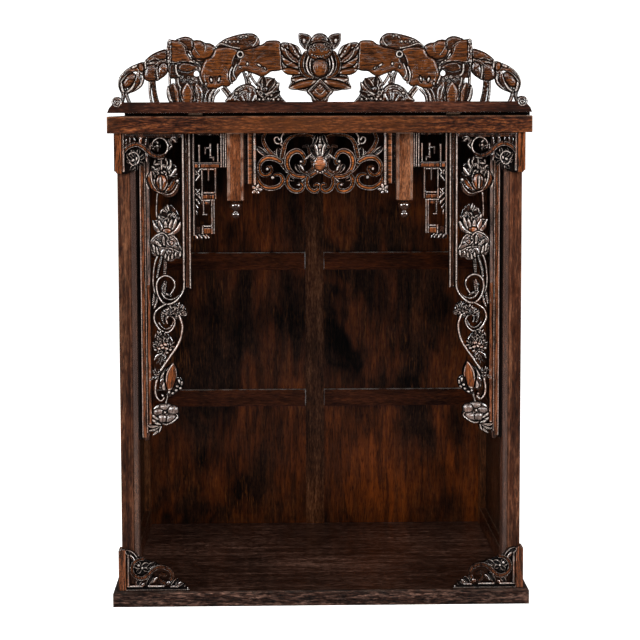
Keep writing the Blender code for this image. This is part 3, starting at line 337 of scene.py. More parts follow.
def wood(name, axis, dark, middle, light, gloss=0.42, pores=0.5, blotch=0.4, coat=0.35, shift=(0, 0, 0),
         edge=None, contrast=1.0, patches=None, specked=0.35, polished=None, place_tints=(), fine=0.45,
         scuffs=None):
    """Varnished rosewood with its grain along one axis: bands, fibres, pores, clouds, edges paled by wear and
    a painted highlight, and tints by facing and by place, some of them painted shade and light.
    """
    n = Nodes(name)
    bare = n.place()
    place = n.stretch(bare, (1.0, 1.0, 1.0), shift=shift)
    drift = n.times(n.noise(n.drawn(place, axis, 15.4, 1.1), 1.0, 2.0), 2.6)
    offset = n.put("ShaderNodeCombineXYZ", {"X": drift, "Y": drift, "Z": drift}).outputs["Vector"]
    warped = n.put("ShaderNodeVectorMath", {0: n.drawn(place, axis, 70.0, 5.0), 1: offset}, operation="ADD")
    bands = n.noise(warped.outputs["Vector"], 1.0, 5.0, 0.6, 0.5)
    fibres = n.noise(n.drawn(place, axis, 364.0, 60.0), 1.0, 3.0, 0.62)
    specks = n.noise(n.drawn(place, axis, 476.0, 170.0), 1.0, 2.0, 0.6)
    pore = n.spread(n.noise(n.drawn(place, axis, 616.0, 70.0), 1.0, 2.0, 0.5), 0.36, 0.46)
    grain = n.math("ADD", n.times(bands, 1.0 - fine), n.times(fibres, fine))
    half = 0.13 / contrast
    colour = n.ramp(n.spread(grain, 0.5 - half, 0.5 + half), [(0.0, dark), (0.5, middle), (1.0, light)])
    cloud = n.noise(place, 9.0, 3.0, 0.6)
    colour = n.tint(colour, n.spread(cloud, 0.36, 0.66, 1.0 - blotch, 1.0 + 0.35 * blotch))
    colour = n.tint(colour, n.spread(specks, 0.3, 0.7, 1.0 - specked, 1.0 + specked))
    if patches is not None:
        colour = stained(n, colour, place, axis, *patches)
    if scuffs is not None:
        colour = scuffed(n, colour, place, scuffs)
    colour = n.tint(colour, n.spread(pore, 0.0, 1.0, 1.0 - pores, 1.0))
    if edge is not None:
        colour = edge_wear_and_highlight(n, colour, place, edge)
    # Tints by facing and by place. The darkening towards the top and the floor's tints are painted shade and
    # light; the rest only lighten or darken a place.
    for source, *span in place_tints:
        value = n.part(n.facing(), "Z") if source == "up" else n.part(bare, source)
        colour = n.tint(colour, n.spread(value, *span))
    if polished is None:
        n.shader.inputs["Coat Weight"].default_value = coat
        n.shader.inputs["Coat Roughness"].default_value = 0.16
    else:
        where, start, stop, shade, mixed = polished
        mask = n.spread(n.math("ABSOLUTE", n.part(bare, where)), start, stop)
        colour = n.mix(n.times(mask, mixed), colour, shade)
        n.feed(n.shader, "Coat Weight", n.spread(mask, 0.0, 1.0, coat * 0.24, 1.0))
        n.shader.inputs["Coat Roughness"].default_value = 0.1
        n.shader.inputs["Coat IOR"].default_value = 2.4
    n.feed(n.shader, "Base Color", colour)
    rough = n.spread(n.noise(place, 30.0, 3.0), 0.3, 0.7, gloss - 0.08, gloss + 0.1)
    n.feed(n.shader, "Roughness", n.math("ADD", rough, n.spread(pore, 1.0, 0.0, 0.0, 0.2)))
    normal = n.bump(pore, 0.0005, 0.7, n.bump(fibres, 0.0004, 0.6))
    n.feed(n.shader, "Normal", n.bump(specks, 0.0004, 0.5, normal))
    skin = n.bump(fibres, 0.0003, 0.25)
    n.feed(n.shader, "Coat Normal", n.bump(n.noise(place, 45.0, 2.0), 0.0012, 0.3, skin))
    n.shader.inputs["Specular IOR Level"].default_value = 0.1
    return n.material


def carved_wood(name, dark, middle, light, worn_highlight, warm, axis="X", pit_shade=0.03, sparkle=0.55,
                shade=(0.0, 0.7), rub_and_highlight=(0.2, 0.8), scale=1.0, skin_ior=2.6, weak=0.18):
    """Carved and varnished rosewood: nearly black in the hollows from painted shade, worn to orange brown on
    the rises, with a painted sheen on the rises and painted highlights on the ridges.
    """
    n = Nodes(name)
    place = n.place()
    turn = 1 if axis == "X" else -1
    streaks = [scale * v for v in (26.0, 120.0, 380.0)][::turn]
    grain = n.noise(n.stretch(place, streaks), 1.0, 4.0, 0.66, 0.6)
    fine = n.noise(n.stretch(place, [160.0, 500.0, 760.0][::turn]), 1.0, 3.0, 0.6)
    mottle = n.noise(place, 520.0, 2.0, 0.6)
    cloud = n.noise(place, 42.0, 2.0, 0.5)
    rise, wear_and_highlight, tone, hollow = (n.attribute(word) for word in ("rise", "wear_and_highlight", "tone", "hollow"))
    streak = n.spread(grain, 0.41, 0.59)
    # The ramp by height paints shade on the low forms and a grey sheen on the high ones.
    level = n.math("ADD", n.times(rise, 0.62), n.times(streak, 0.5))
    colour = n.ramp(n.spread(level, 0.25, 1.05), [(0.0, dark), (0.5, middle), (1.0, light)])
    orange = n.ramp(streak, [(where, tuple(v * share for v in warm))
                             for where, share in ((0.0, weak), (0.45, 1.0), (1.0, 1.9))])
    warmth = n.math("MAXIMUM", tone, n.spread(cloud, 0.5, 0.64, 0.0, 0.6))
    colour = n.mix(n.times(warmth, n.spread(rise, 0.3, 0.55)), colour, orange)
    # A tone below 0 paints a pale sheen.
    painted_sheen = n.times(n.spread(tone, 0.0, -1.0), n.spread(streak, 0.0, 0.8, 0.25, 1.0))
    colour = n.mix(painted_sheen, colour, rgb(134, 114, 106))
    # The ridges pale with wear and with a painted highlight.
    bare = n.times(n.spread(wear_and_highlight, *rub_and_highlight), n.spread(mottle, 0.4, 0.58, 0.2, 0.85))
    colour = n.mix(bare, colour, worn_highlight)
    # Painted shade: the hollows are darkened nearly to black.
    colour = n.tint(colour, n.spread(hollow, *shade, 1.0, pit_shade))
    colour = n.tint(colour, n.spread(fine, 0.36, 0.5, 0.45, 1.05))
    n.feed(n.shader, "Base Color", colour)
    rough = n.spread(rise, 0.0, 1.0, 0.75, 0.5)
    n.feed(n.shader, "Roughness", n.math("ADD", rough, n.spread(fine, 0.3, 0.6, 0.15, 0.0)))
    n.feed(n.shader, "Normal", n.bump(streak, 0.0004, 0.5, n.bump(fine, 0.0003, 0.6)))
    n.feed(n.shader, "Coat Normal", n.bump(mottle, 0.0005, sparkle, n.bump(streak, 0.0003, 0.35)))
    plain = n.spread(n.math("ABSOLUTE", tone), 0.0, 1.0, 1.0, 0.3)
    n.feed(n.shader, "Coat Weight", n.times(n.spread(hollow, 0.1, 0.5, 1.0, 0.04), plain))
    n.shader.inputs["Coat IOR"].default_value = skin_ior
    n.shader.inputs["Coat Roughness"].default_value = 0.08
    n.shader.inputs["Specular IOR Level"].default_value = 0.05
    return n.material


def hinge_iron():
    """Dull dark iron."""
    n = Nodes("hinge iron")
    n.shader.inputs["Base Color"].default_value = (*rgb(58, 44, 34), 1.0)
    n.shader.inputs["Metallic"].default_value = 0.9
    n.feed(n.shader, "Roughness", n.spread(n.noise(n.place(), 400.0), 0.3, 0.7, 0.32, 0.6))
    return n.material


# The carver's kit: a board of openwork as a grid of heights in millimetres
def smooth(points, per_span=6, closed=False):
    """A smooth line through points."""
    pts = np.array(points, float)
    count = len(pts)
    out = []
    for i in range(count if closed else count - 1):
        if closed:
            a, b, c, d = (pts[(i + k) % count] for k in (-1, 0, 1, 2))
        else:
            a, b, c, d = pts[max(i - 1, 0)], pts[i], pts[i + 1], pts[min(i + 2, count - 1)]
        for k in range(per_span):
            t = k / per_span
            out.append(0.5 * ((2 * b) + (c - a) * t + (2 * a - 5 * b + 4 * c - d) * t * t
                              + (3 * b - a - 3 * c + d) * t ** 3))
    if not closed:
        out.append(pts[-1])
    return np.array(out)


def arc(x, z, radius, start, stop, steps=40):
    """Points on an arc, its angles in degrees."""
    angles = np.radians(np.linspace(start, stop, steps))
    return np.stack([x + radius * np.cos(angles), z + radius * np.sin(angles)], 1)


def near(line, px, pz):
    """How far each place is from a line, on which side, and how far along it."""
    a = line[:-1]
    ab = line[1:] - a
    length = np.hypot(ab[:, 0], ab[:, 1])
    keep = length > 1e-9
    a, ab, length = a[keep], ab[keep], length[keep]
    start = np.concatenate([[0.0], np.cumsum(length)])
    dx = px[..., None] - a[:, 0]
    dz = pz[..., None] - a[:, 1]
    t = np.clip((dx * ab[:, 0] + dz * ab[:, 1]) / length ** 2, 0.0, 1.0)
    gap = np.hypot(dx - t * ab[:, 0], dz - t * ab[:, 1])
    best = np.argmin(gap, axis=-1)
    gap, side, t = (np.take_along_axis(v, best[..., None], -1)[..., 0]
                    for v in (gap, ab[:, 0] * dz - ab[:, 1] * dx, t))
    along = (start[best] + t * length[best]) / start[-1]
    return gap, np.where(side >= 0, 1.0, -1.0), along


def inside(outline, px, pz):
    """Which places lie inside a closed outline."""
    result = np.zeros(px.shape, bool)
    for (ax, az), (bx, bz) in zip(outline, np.roll(outline, -1, axis=0)):
        if az != bz:
            crosses = (az > pz) != (bz > pz)
            result ^= crosses & (px < (bx - ax) * (pz - az) / (bz - az) + ax)
    return result


def depth_inside(outline, px, pz):
    """How far each place lies inside a closed outline, below 0 outside it."""
    gap = near(np.vstack([outline, outline[:1]]), px, pz)[0]
    return np.where(inside(outline, px, pz), gap, -gap)


def rounded(share):
    """The height of a half round, from 1 on its middle to 0 at its edges."""
    return np.sqrt(np.clip(1.0 - share ** 2, 0.0, 1.0))


def profile(kind, q):
    """How high a form stands across its width, from 0 to 1, where q runs from -1 to 1."""
    a = np.clip(np.abs(q), 0.0, 1.0)
    if kind == "round":
        return np.sqrt(1.0 - a ** 2)
    if kind == "soft":
        return 1.0 - a ** 2
    if kind == "flat":
        return np.sqrt(np.clip(1.0 - a ** 5, 0.0, 1.0))
    if kind == "keel":
        return np.clip(1.0 - 0.75 * a - 0.25 * a ** 4, 0.0, 1.0)
    if kind == "cup":
        return np.maximum(rounded((a - 0.78) / 0.22), (0.35 + 0.5 * a ** 2) * (a < 0.78))
    if kind == "edged":
        inner = 0.5 + 0.14 * rounded(a / 0.58)
        rim = np.maximum(rounded((a - 0.81) / 0.19), 0.25 * (a < 0.9))
        return np.maximum(rim, inner * (a < 0.58))
    if kind == "left":
        s = np.clip(q, -1.0, 1.0)
        return np.maximum(rounded((s - 0.6) / 0.4), 0.55 * rounded(a ** 2) * (s < 0.6))
    return profile("left", -q)


OTHER_HAND = {"left": "right", "right": "left"}


class Board:
    """One carved board. Later forms lie over earlier ones, the other way round while sign is -1."""

    def __init__(self, x0, x1, z0, z1, step, ground, pen=1.0):
        self.step = step
        self.ground = ground
        self.pen = pen
        self.sign = 1.0
        self.x = np.arange(x0 - 2 * step, x1 + 2.5 * step, step)
        self.z = np.arange(z0 - 2 * step, z1 + 2.5 * step, step)
        self.px, self.pz = np.meshgrid(self.x, self.z)
        self.rim = (x0, x1, z0, z1)
        self.h = np.zeros(self.px.shape)
        self.d = np.full(self.px.shape, -9.0)
        self.tone = np.zeros(self.px.shape)

    def hand(self, kind):
        """The profile of this kind on the side that is being laid."""
        return OTHER_HAND.get(kind, kind) if self.sign < 0 else kind

    def path(self, points, sides=6, closed=False):
        """A line on the side that is being laid, smooth or, with one step between points, straight."""
        points = [(self.sign * x, z) for x, z in points]
        return smooth(points, sides, closed) if sides > 1 else np.array(points, float)

    def window(self, points, pad):
        """The part of the grid round some points."""
        pts = np.asarray(points)
        pad += 3 * self.step
        area = []
        for axis, places in ((1, self.z), (0, self.x)):
            first = max(0, int((pts[:, axis].min() - pad - places[0]) / self.step))
            last = min(len(places), int((pts[:, axis].max() + pad - places[0]) / self.step) + 2)
            area.append(slice(first, max(last, first)))
        area = tuple(area)
        return area, self.px[area], self.pz[area]

    def oval(self, x, z, rx, rz, tilt, reach=1.0):
        """The part of the grid round an oval, and each place's coordinates in its radii."""
        x, tilt = self.sign * x, math.radians(self.sign * tilt)
        area, px, pz = self.window([(x, z)], max(rx, rz) * reach)
        c, s = math.cos(tilt), math.sin(tilt)
        return area, ((px - x) * c + (pz - z) * s) / rx, (-(px - x) * s + (pz - z) * c) / rz

    def lay(self, area, d, high, share, tone=0.0, low=None):
        """Lays one form, from its foot to its top by its share of the height, over what is there."""
        low = self.ground if low is None else low
        h = low + (high - low) * share
        old = self.d[area]
        a = np.clip(d / self.step + 0.5, 0.0, 1.0)
        bare = old < -0.5 * self.step
        reach = d > -2.0 * self.step
        self.h[area] = np.where(bare & reach, h, self.h[area] * (1 - a) + h * a)
        # A tone above 0 is the varnish's orange; below 0 it paints a pale sheen.
        self.tone[area] = self.tone[area] * (1 - a) + tone * a
        self.d[area] = np.maximum(old, d)

    def band(self, points, width, high, kind="round", tone=0.0, sides=6, low=None):
        """A strap along a line; width is a number or several, spread evenly along it."""
        line = self.path(points, sides)
        widths = np.atleast_1d(width).astype(float)
        area, px, pz = self.window(line, widths.max() / 2)
        gap, side, along = near(line, px, pz)
        half = np.maximum(np.interp(along, np.linspace(0, 1, len(widths)), widths) / 2, 0.05)
        q = side * gap / half
        tone = tone * (np.abs(q) < 0.62) if kind == "edged" else tone
        self.lay(area, half - gap, high, profile(self.hand(kind), q), tone, low)

    def petal(self, base, tip, width, high, bend=0.0, kind="soft", foot=0.35, tone=0.0, belly=0.55,
              point=0.06):
        """A petal from its base to its tip, widest at its belly."""
        base, tip = self.path([base, tip], 1)
        run = tip - base
        size = np.hypot(*run)
        normal = np.array([-run[1], run[0]]) / size
        bend *= self.sign
        line = np.array([base + run * t + normal * bend * size * 4 * t * (1 - t) * 0.5
                         for t in np.linspace(0, 1, 17)])
        area, px, pz = self.window(line, width / 2)
        gap, side, along = near(line, px, pz)
        power = math.log(0.5) / math.log(belly)
        full = np.sin(np.pi * np.clip(along, 0, 1) ** power) ** 0.75
        start = np.where(along < belly, foot + (1 - foot) * full, full)
        half = np.maximum(width / 2 * np.maximum(start, point), 0.05)
        self.lay(area, half - gap, high, profile(self.hand(kind), side * gap / half), tone)

    def petals(self, *rows, **more):
        """Several petals, one after another."""
        for row in rows:
            self.petal(*row, **more)

    def leaf(self, outline, high, dome=5.0, tone=0.0, sharp=False, low=None):
        """A leaf or lobe with a domed top inside a closed outline."""
        line = self.path(outline, 1 if sharp else 4, True)
        area, px, pz = self.window(line, 1.0)
        d = depth_inside(line, px, pz)
        up = np.clip(d / dome, 0.0, 1.0)
        self.lay(area, d, high, np.sqrt(1 - (1 - up) ** 2), tone, low)

    def ball(self, x, z, rx, rz, high, tilt=0.0, tone=0.0, kind="round", low=None):
        """A boss, round or oval."""
        area, u, v = self.oval(x, z, rx, rz, tilt)
        r = np.hypot(u, v)
        self.lay(area, (1 - r) * min(rx, rz), high, profile(kind, r), tone, low)

    def balls(self, *rows, **more):
        """Several bosses, one after another."""
        for row in rows:
            self.ball(*row, **more)

    def ring(self, x, z, radius, width, high, low=None):
        """A round ring."""
        self.band(arc(x, z, radius, 0.0, 360.0), width, high, sides=1, low=low)

    def slab(self, x0, x1, z0, z1, low, high=None, kind="flat", along="Z", tone=0.0):
        """A straight strip, moulded where it has a second height."""
        x0, x1 = sorted((self.sign * x0, self.sign * x1))
        area, px, pz = self.window([(x0, z0), (x1, z1)], 0.0)
        d = np.minimum(np.minimum(px - x0, x1 - px), np.minimum(pz - z0, z1 - pz))
        q = (px - (x0 + x1) / 2) / ((x1 - x0) / 2) if along == "Z" else (pz - (z0 + z1) / 2) / ((z1 - z0) / 2)
        self.lay(area, d, low if high is None else high, profile(self.hand(kind), q), tone, low)

    def cut(self, outline):
        """An opening through the board."""
        line = self.path(outline, 4, True)
        area, px, pz = self.window(line, 1.0)
        self.d[area] = np.minimum(self.d[area], -depth_inside(line, px, pz))

    def groove(self, points, width, depth, sides=6, fade=True):
        """A line cut into the surface."""
        line = self.path(points, sides)
        area, px, pz = self.window(line, width / 2)
        gap, _, along = near(line, px, pz)
        share = np.clip(1.0 - (gap / (width / 2)) ** 2, 0.0, 1.0)
        if fade:
            share = share * np.interp(along, [0.0, 0.15, 0.85, 1.0], [0.4, 1.0, 1.0, 0.3])
        self.h[area] -= depth * share

    def grooves(self, lines, width, depth):
        """Several cut lines."""
        for points in lines:
            self.groove(points, width, depth)

    def line(self, points, width, rise, ditch):
        """A raised line with a small ditch on each side of it."""
        path = self.path(points)
        area, px, pz = self.window(path, width * 2)
        gap, _, along = near(path, px, pz)
        r = self.pen * width / 2
        fade = np.interp(along, [0.0, 0.12, 0.88, 1.0], [0.35, 1.0, 1.0, 0.35])
        dip = np.exp(-((gap - 1.65 * r) / (0.55 * r)) ** 2)
        self.h[area] += fade * (rise * rounded(gap / r) - ditch * dip)

    def lines(self, paths, width, rise, ditch):
        """Several raised lines."""
        for points in paths:
            self.line(points, width, rise, ditch)

    def veins(self, outline, focus, count, depth, turn=0.0):
        """Folds that fan out from a point of a leaf, inside its outline."""
        path = self.path(outline, 4, True)
        area, px, pz = self.window(path, 0.0)
        gap = np.maximum(depth_inside(path, px, pz), 0.0)
        px, pz = px - self.sign * focus[0], pz - focus[1]
        wave = np.cos(np.arctan2(pz, px) * count + turn)
        share = np.clip(gap / 2.5, 0.0, 1.0) * np.clip(np.hypot(px, pz) / 14.0, 0.0, 1.0)
        self.h[area] += depth * share * (0.5 * wave - 0.6 * np.clip(-wave, 0.6, 1.0) + 0.36)

    def swell(self, x, z, rx, rz, rise, tilt=0.0):
        """A soft rise or hollow of the surface."""
        area, u, v = self.oval(x, z, rx, rz, tilt, 2)
        self.h[area] += rise * np.exp(-(u * u + v * v) * 1.4)

    def beads(self, points, radius, spacing, high, low=None):
        """A row of small bosses along a line."""
        line = smooth(points, 8)
        steps = np.hypot(*(line[1:] - line[:-1]).T)
        total = steps.sum()
        at = np.concatenate([[0.0], np.cumsum(steps)])
        for place in np.linspace(0.0, total, max(2, int(total / spacing) + 1)):
            x, z = (np.interp(place, at, line[:, axis]) for axis in (0, 1))
            self.ball(x, z, radius, radius, high, low=low)

    def blurred(self, field, mask, size):
        """A field averaged over its neighbours inside the mask."""
        fields = [field * mask, mask.astype(float)]
        reach = max(1, int(round(size / self.step)))
        for axis in (0, 0, 1, 1):
            fields = [v + sum(np.roll(v, k, axis) + np.roll(v, -k, axis) for k in range(1, reach + 1))
                      for v in fields]
        return fields[0] / np.maximum(fields[1], 1e-9)

    def hollow(self, reach):
        """How far each place lies below the highest one within a reach, which sets the painted shade of the
        hollows.
        """
        peak = np.where(self.d > -0.3 * self.step, self.h, 0.0)
        for _ in range(max(1, int(round(reach / self.step)))):
            peak = highest(peak)
        return peak - self.h

    def cells(self):
        """The grid's solid cells, in one piece and without corners that touch at a point."""
        x0, x1, z0, z1 = self.rim
        edge = np.minimum(np.minimum(self.px - x0, x1 - self.px), np.minimum(self.pz - z0, z1 - self.pz))
        self.d = np.minimum(self.d, edge)
        d = self.d
        filled = (d[:-1, :-1] + d[1:, :-1] + d[:-1, 1:] + d[1:, 1:]) > 0
        filled[0, :] = filled[-1, :] = False
        filled[:, 0] = filled[:, -1] = False
        while True:
            a, b, c, e = filled[:-1, :-1], filled[:-1, 1:], filled[1:, :-1], filled[1:, 1:]
            falling = a & e & ~b & ~c
            rising = b & c & ~a & ~e
            if not (falling.any() or rising.any()):
                return largest(filled)
            filled[:-1, 1:] |= falling
            filled[:-1, :-1] |= rising

    def outline_places(self, border):
        """The grid's places, with those on the border moved onto the forms' edges."""
        gz, gx = np.gradient(self.d, self.step)
        slope = np.maximum(gx ** 2 + gz ** 2, 0.15)
        limit = 0.62 * self.step
        px, pz = (np.where(border, v + np.clip(-self.d * g / slope, -limit, limit), v)
                  for v, g in ((self.px, gx), (self.pz, gz)))
        x0, x1, z0, z1 = self.rim
        return np.clip(px, x0, x1), np.clip(pz, z0, z1)

    def piece(self, name, setback, x_origin, z_origin, material, mirror=False):
        """The board as a closed mesh: carved front, straight walls and a flat back."""
        filled = self.cells()
        ny, nx = self.d.shape
        used = np.zeros((ny, nx), int)
        for di in (0, 1):
            for dj in (0, 1):
                used[di:ny - 1 + di, dj:nx - 1 + dj] += filled
        verts = used > 0
        border = verts & (used < 4)
        px, pz = self.outline_places(border)
        front_count, back_count = int(verts.sum()), int(border.sum())
        index = np.full((ny, nx), -1)
        index[verts] = np.arange(front_count)
        back_index = np.full((ny, nx), -1)
        back_index[border] = front_count + np.arange(back_count)
        i, j = np.nonzero(filled)
        corners = [(i, j), (i, j + 1), (i + 1, j + 1), (i + 1, j)]
        quads = [np.stack([index[a] for a in corners], 1)]
        padded = np.zeros((ny + 1, nx + 1), bool)
        padded[1:ny, 1:nx] = filled
        rims = []
        for k, (di, dj) in enumerate(((-1, 0), (0, 1), (1, 0), (0, -1))):
            open_side = ~padded[i + 1 + di, j + 1 + dj]
            a, b = (tuple(v[open_side] for v in corners[c % 4]) for c in (k, k + 1))
            quads.append(np.stack([index[b], index[a], back_index[a], back_index[b]], 1))
            rims.append(np.stack([back_index[a], back_index[b]], 1) - front_count)
        quads = np.vstack(quads)
        backs = back_faces(np.stack([px[border], pz[border]], 1), np.vstack(rims)) + front_count
        xs, zs, hs = (np.concatenate([v[verts], w[border]])
                      for v, w in ((px, px), (pz, pz), (self.h, np.zeros((ny, nx)))))
        points = np.stack([x_origin + (-xs if mirror else xs) * MM, FRONT_Y + setback - hs * MM,
                           z_origin + zs * MM], 1)
        faces = [tuple(f[::-1] if mirror else f) for f in quads.tolist() + backs.tolist()]
        item = mesh_object(name, points.tolist(), faces, material, CARVED_SHARP_ANGLE)
        self.store_looks(item.data, verts, back_count)
        return item

    def store_looks(self, mesh, verts, back_count):
        """What the carved wood's material reads: rises for painted shade and sheen, ridges for wear and
        painted highlights, hollows for painted shade, and tones; the walls and back get fixed values that
        paint them in shade.
        """
        mask = self.d > -0.3 * self.step
        fine = (self.h - self.blurred(self.h, mask, FINE_REACH))[verts]
        broad = (self.h - self.blurred(self.h, mask, BROAD_REACH))[verts]
        share = self.h[verts] / float(np.percentile(self.h[verts], 99))
        within = np.clip((self.d[verts] - 0.1) / 1.1, 0.45, 1)
        # Painted shade: deep below the neighbours, low on the board and in the ditches.
        hollow = np.clip(self.hollow(HOLLOW_REACH)[verts] / 2.4 - 0.3, 0, 1)
        for deep in ((0.62 - share) * 4.0, -fine * 1.2 - 0.1):
            hollow = np.maximum(hollow, np.clip(deep, 0, 1))
        # rise gives a painted sheen to the high and broad forms and painted shade to the low ones.
        rise = np.clip(0.5 + broad * 0.17, 0, 1) * np.clip(share, 0, 1) ** 0.5
        # Ridges for the wear and painted highlight, narrowed near the forms' edges.
        wear_and_highlight = np.clip(fine * 1.1 - 0.1, 0, 1) * within
        # The walls and back get fixed values that paint them in shade.
        for name, front, back in (("rise", rise, 0.25), ("wear_and_highlight", wear_and_highlight, 0.0), ("hollow", hollow, 0.3),
                                  ("tone", self.tone[verts], 0.0)):
            store(mesh, name, np.concatenate([front, np.full(back_count, back)]))


def highest(field):
    """The highest value of each place and the four next to it."""
    grown = field.copy()
    for axis in (0, 1):
        for shift in (1, -1):
            grown = np.maximum(grown, np.roll(field, shift, axis))
    return grown


def largest(mask):
    """The largest connected part of a mask, found by spreading the highest number through each part."""
    label = np.where(mask, np.arange(mask.size).reshape(mask.shape) + 1, 0)
    while True:
        grown = np.where(mask, highest(label), 0)
        for view, lit in ((grown, mask), (grown[::-1], mask[::-1]),
                          (grown.T, mask.T), (grown.T[::-1], mask.T[::-1])):
            for row in range(1, len(view)):
                view[row] = np.where(lit[row], np.maximum(view[row], view[row - 1]), 0)
        if (grown == label).all():
            break
        label = grown
    values, counts = np.unique(label[label > 0], return_counts=True)
    return label == values[np.argmax(counts)]


def mesh_object(name, points, faces, material, sharp_angle):
    """A mesh, smooth but for its sharp edges, in the scene."""
    mesh = bpy.data.meshes.new(name)
    mesh.from_pydata(points, [], faces)
    mesh.polygons.foreach_set("use_smooth", [True] * len(faces))
    mesh.set_sharp_from_angle(angle=math.radians(sharp_angle))
    mesh.materials.append(material)
    item = bpy.data.objects.new(name, mesh)
    bpy.context.scene.collection.objects.link(item)
    return item


def store(mesh, name, values):
    """A number on each vertex."""
    layer = mesh.attributes.new(name, "FLOAT", "POINT")
    layer.data.foreach_set("value", np.asarray(values, np.float32))


def back_faces(points, pairs):
    """Triangles that fill the flat back inside its rims."""
    coords = [Vector((float(x), float(z))) for x, z in points]
    out = delaunay_2d_cdt(coords, [tuple(p) for p in pairs.tolist()], [], 0, 1e-5)
    where = np.array([(v.x, v.y) for v in out[0]])
    sources = np.array([s[0] if s else -1 for s in out[3]])
    tris = np.array([f for f in out[2] if len(f) == 3])
    centres = where[tris].mean(axis=1)
    a = points[pairs[:, 0]]
    b = points[pairs[:, 1]]
    rise = np.where(b[:, 1] == a[:, 1], 1.0, b[:, 1] - a[:, 1])
    held = np.zeros(len(tris), bool)
    for start in range(0, len(tris), BACK_BLOCK):
        cx, cz = (centres[start:start + BACK_BLOCK, axis, None] for axis in (0, 1))
        crosses = (a[:, 1] > cz) != (b[:, 1] > cz)
        meet = (b[:, 0] - a[:, 0]) * (cz - a[:, 1]) / rise + a[:, 0]
        held[start:start + BACK_BLOCK] = ((crosses & (cx < meet)).sum(1) % 2) == 1
    kept = sources[tris[held]]
    p, q, r = (points[kept[:, k]] for k in (0, 1, 2))
    area = (q[:, 0] - p[:, 0]) * (r[:, 1] - p[:, 1]) - (q[:, 1] - p[:, 1]) * (r[:, 0] - p[:, 0])
    kept[area > 0] = kept[area > 0][:, ::-1]
    return kept[np.abs(area) > 1e-12]


# The hanging sides of the apron, measured in from the post and up from the top board's underside
def side_strips(b):
    """The moulded strips beside the post and the short one on the inner side."""
    b.slab(0.3, 6.0, -512.0, -0.3, 8.0)
    b.leaf([(5.6, -0.2), (23.2, -0.2), (23.2, -474), (19.5, -490), (17, -512), (12, -514), (5.6, -505)],
        11.0, 1.0, sharp=True, tone=0.3, low=10.6)
    b.slab(6.0, 13.6, -508.0, -0.2, 10.6, 12.4, "flat", tone=0.6)
    b.groove([(8.4, -0.2), (8.4, -508.0)], 1.3, 0.8, 1, False)
    b.groove([(11.2, -0.2), (11.2, -508.0)], 1.3, 0.8, 1, False)
    b.slab(13.9, 15.9, -500.0, -0.2, 10.4, 12.8, "round", tone=0.6)
    b.slab(16.6, 22.8, -486.0, -250.0, 10.4, 13.6, "round", tone=0.6)
    # The bead's upper part has a painted pale sheen.
    b.slab(16.6, 22.8, -250.0, -0.2, 10.4, 13.6, "round", tone=-0.45)
    b.slab(76.0, 90.6, -258.0, -0.2, 10.0, tone=0.5)
    b.slab(76.2, 80.2, -256.0, -0.2, 10.4, 15.6, "round", tone=0.2)
    b.slab(80.9, 86.8, -256.0, -0.2, 10.0, 11.8, "flat", tone=0.6)
    b.slab(87.2, 90.4, -258.0, -0.2, 10.4, 13.6, "round", tone=0.2)
    b.groove([(83.8, -0.2), (83.8, -256.0)], 1.4, 0.8, 1, False)


def tangle(b, outline, count, size, high, focus, seed, tone=0.0):
    """Small curled lobes crowded inside an outline, leaning away from a focus, as on a full flower."""
    chance = np.random.default_rng(seed)
    line = smooth(outline, 4, closed=True)
    least, most = line.min(axis=0), line.max(axis=0)
    laid = 0
    while laid < count:
        spot = least + (most - least) * chance.random(2)
        if not inside(line, spot[:1], spot[1:])[0]:
            continue
        laid += 1
        lean = math.atan2(spot[1] - focus[1], spot[0] - focus[0]) + chance.normal(0.0, 0.7)
        length = size * chance.uniform(0.6, 1.3)
        step = np.array([math.cos(lean), math.sin(lean)]) * length / 2
        # Lobes without a tone get a random painted pale sheen.
        b.petal(spot - step, spot + step, length * chance.uniform(0.34, 0.6), high - 2.6 * chance.random(),
                chance.uniform(-0.5, 0.5), "soft" if chance.random() < 0.6 else "round", 0.4,
                tone * chance.random() if tone else -0.7 * chance.random(), point=0.3)


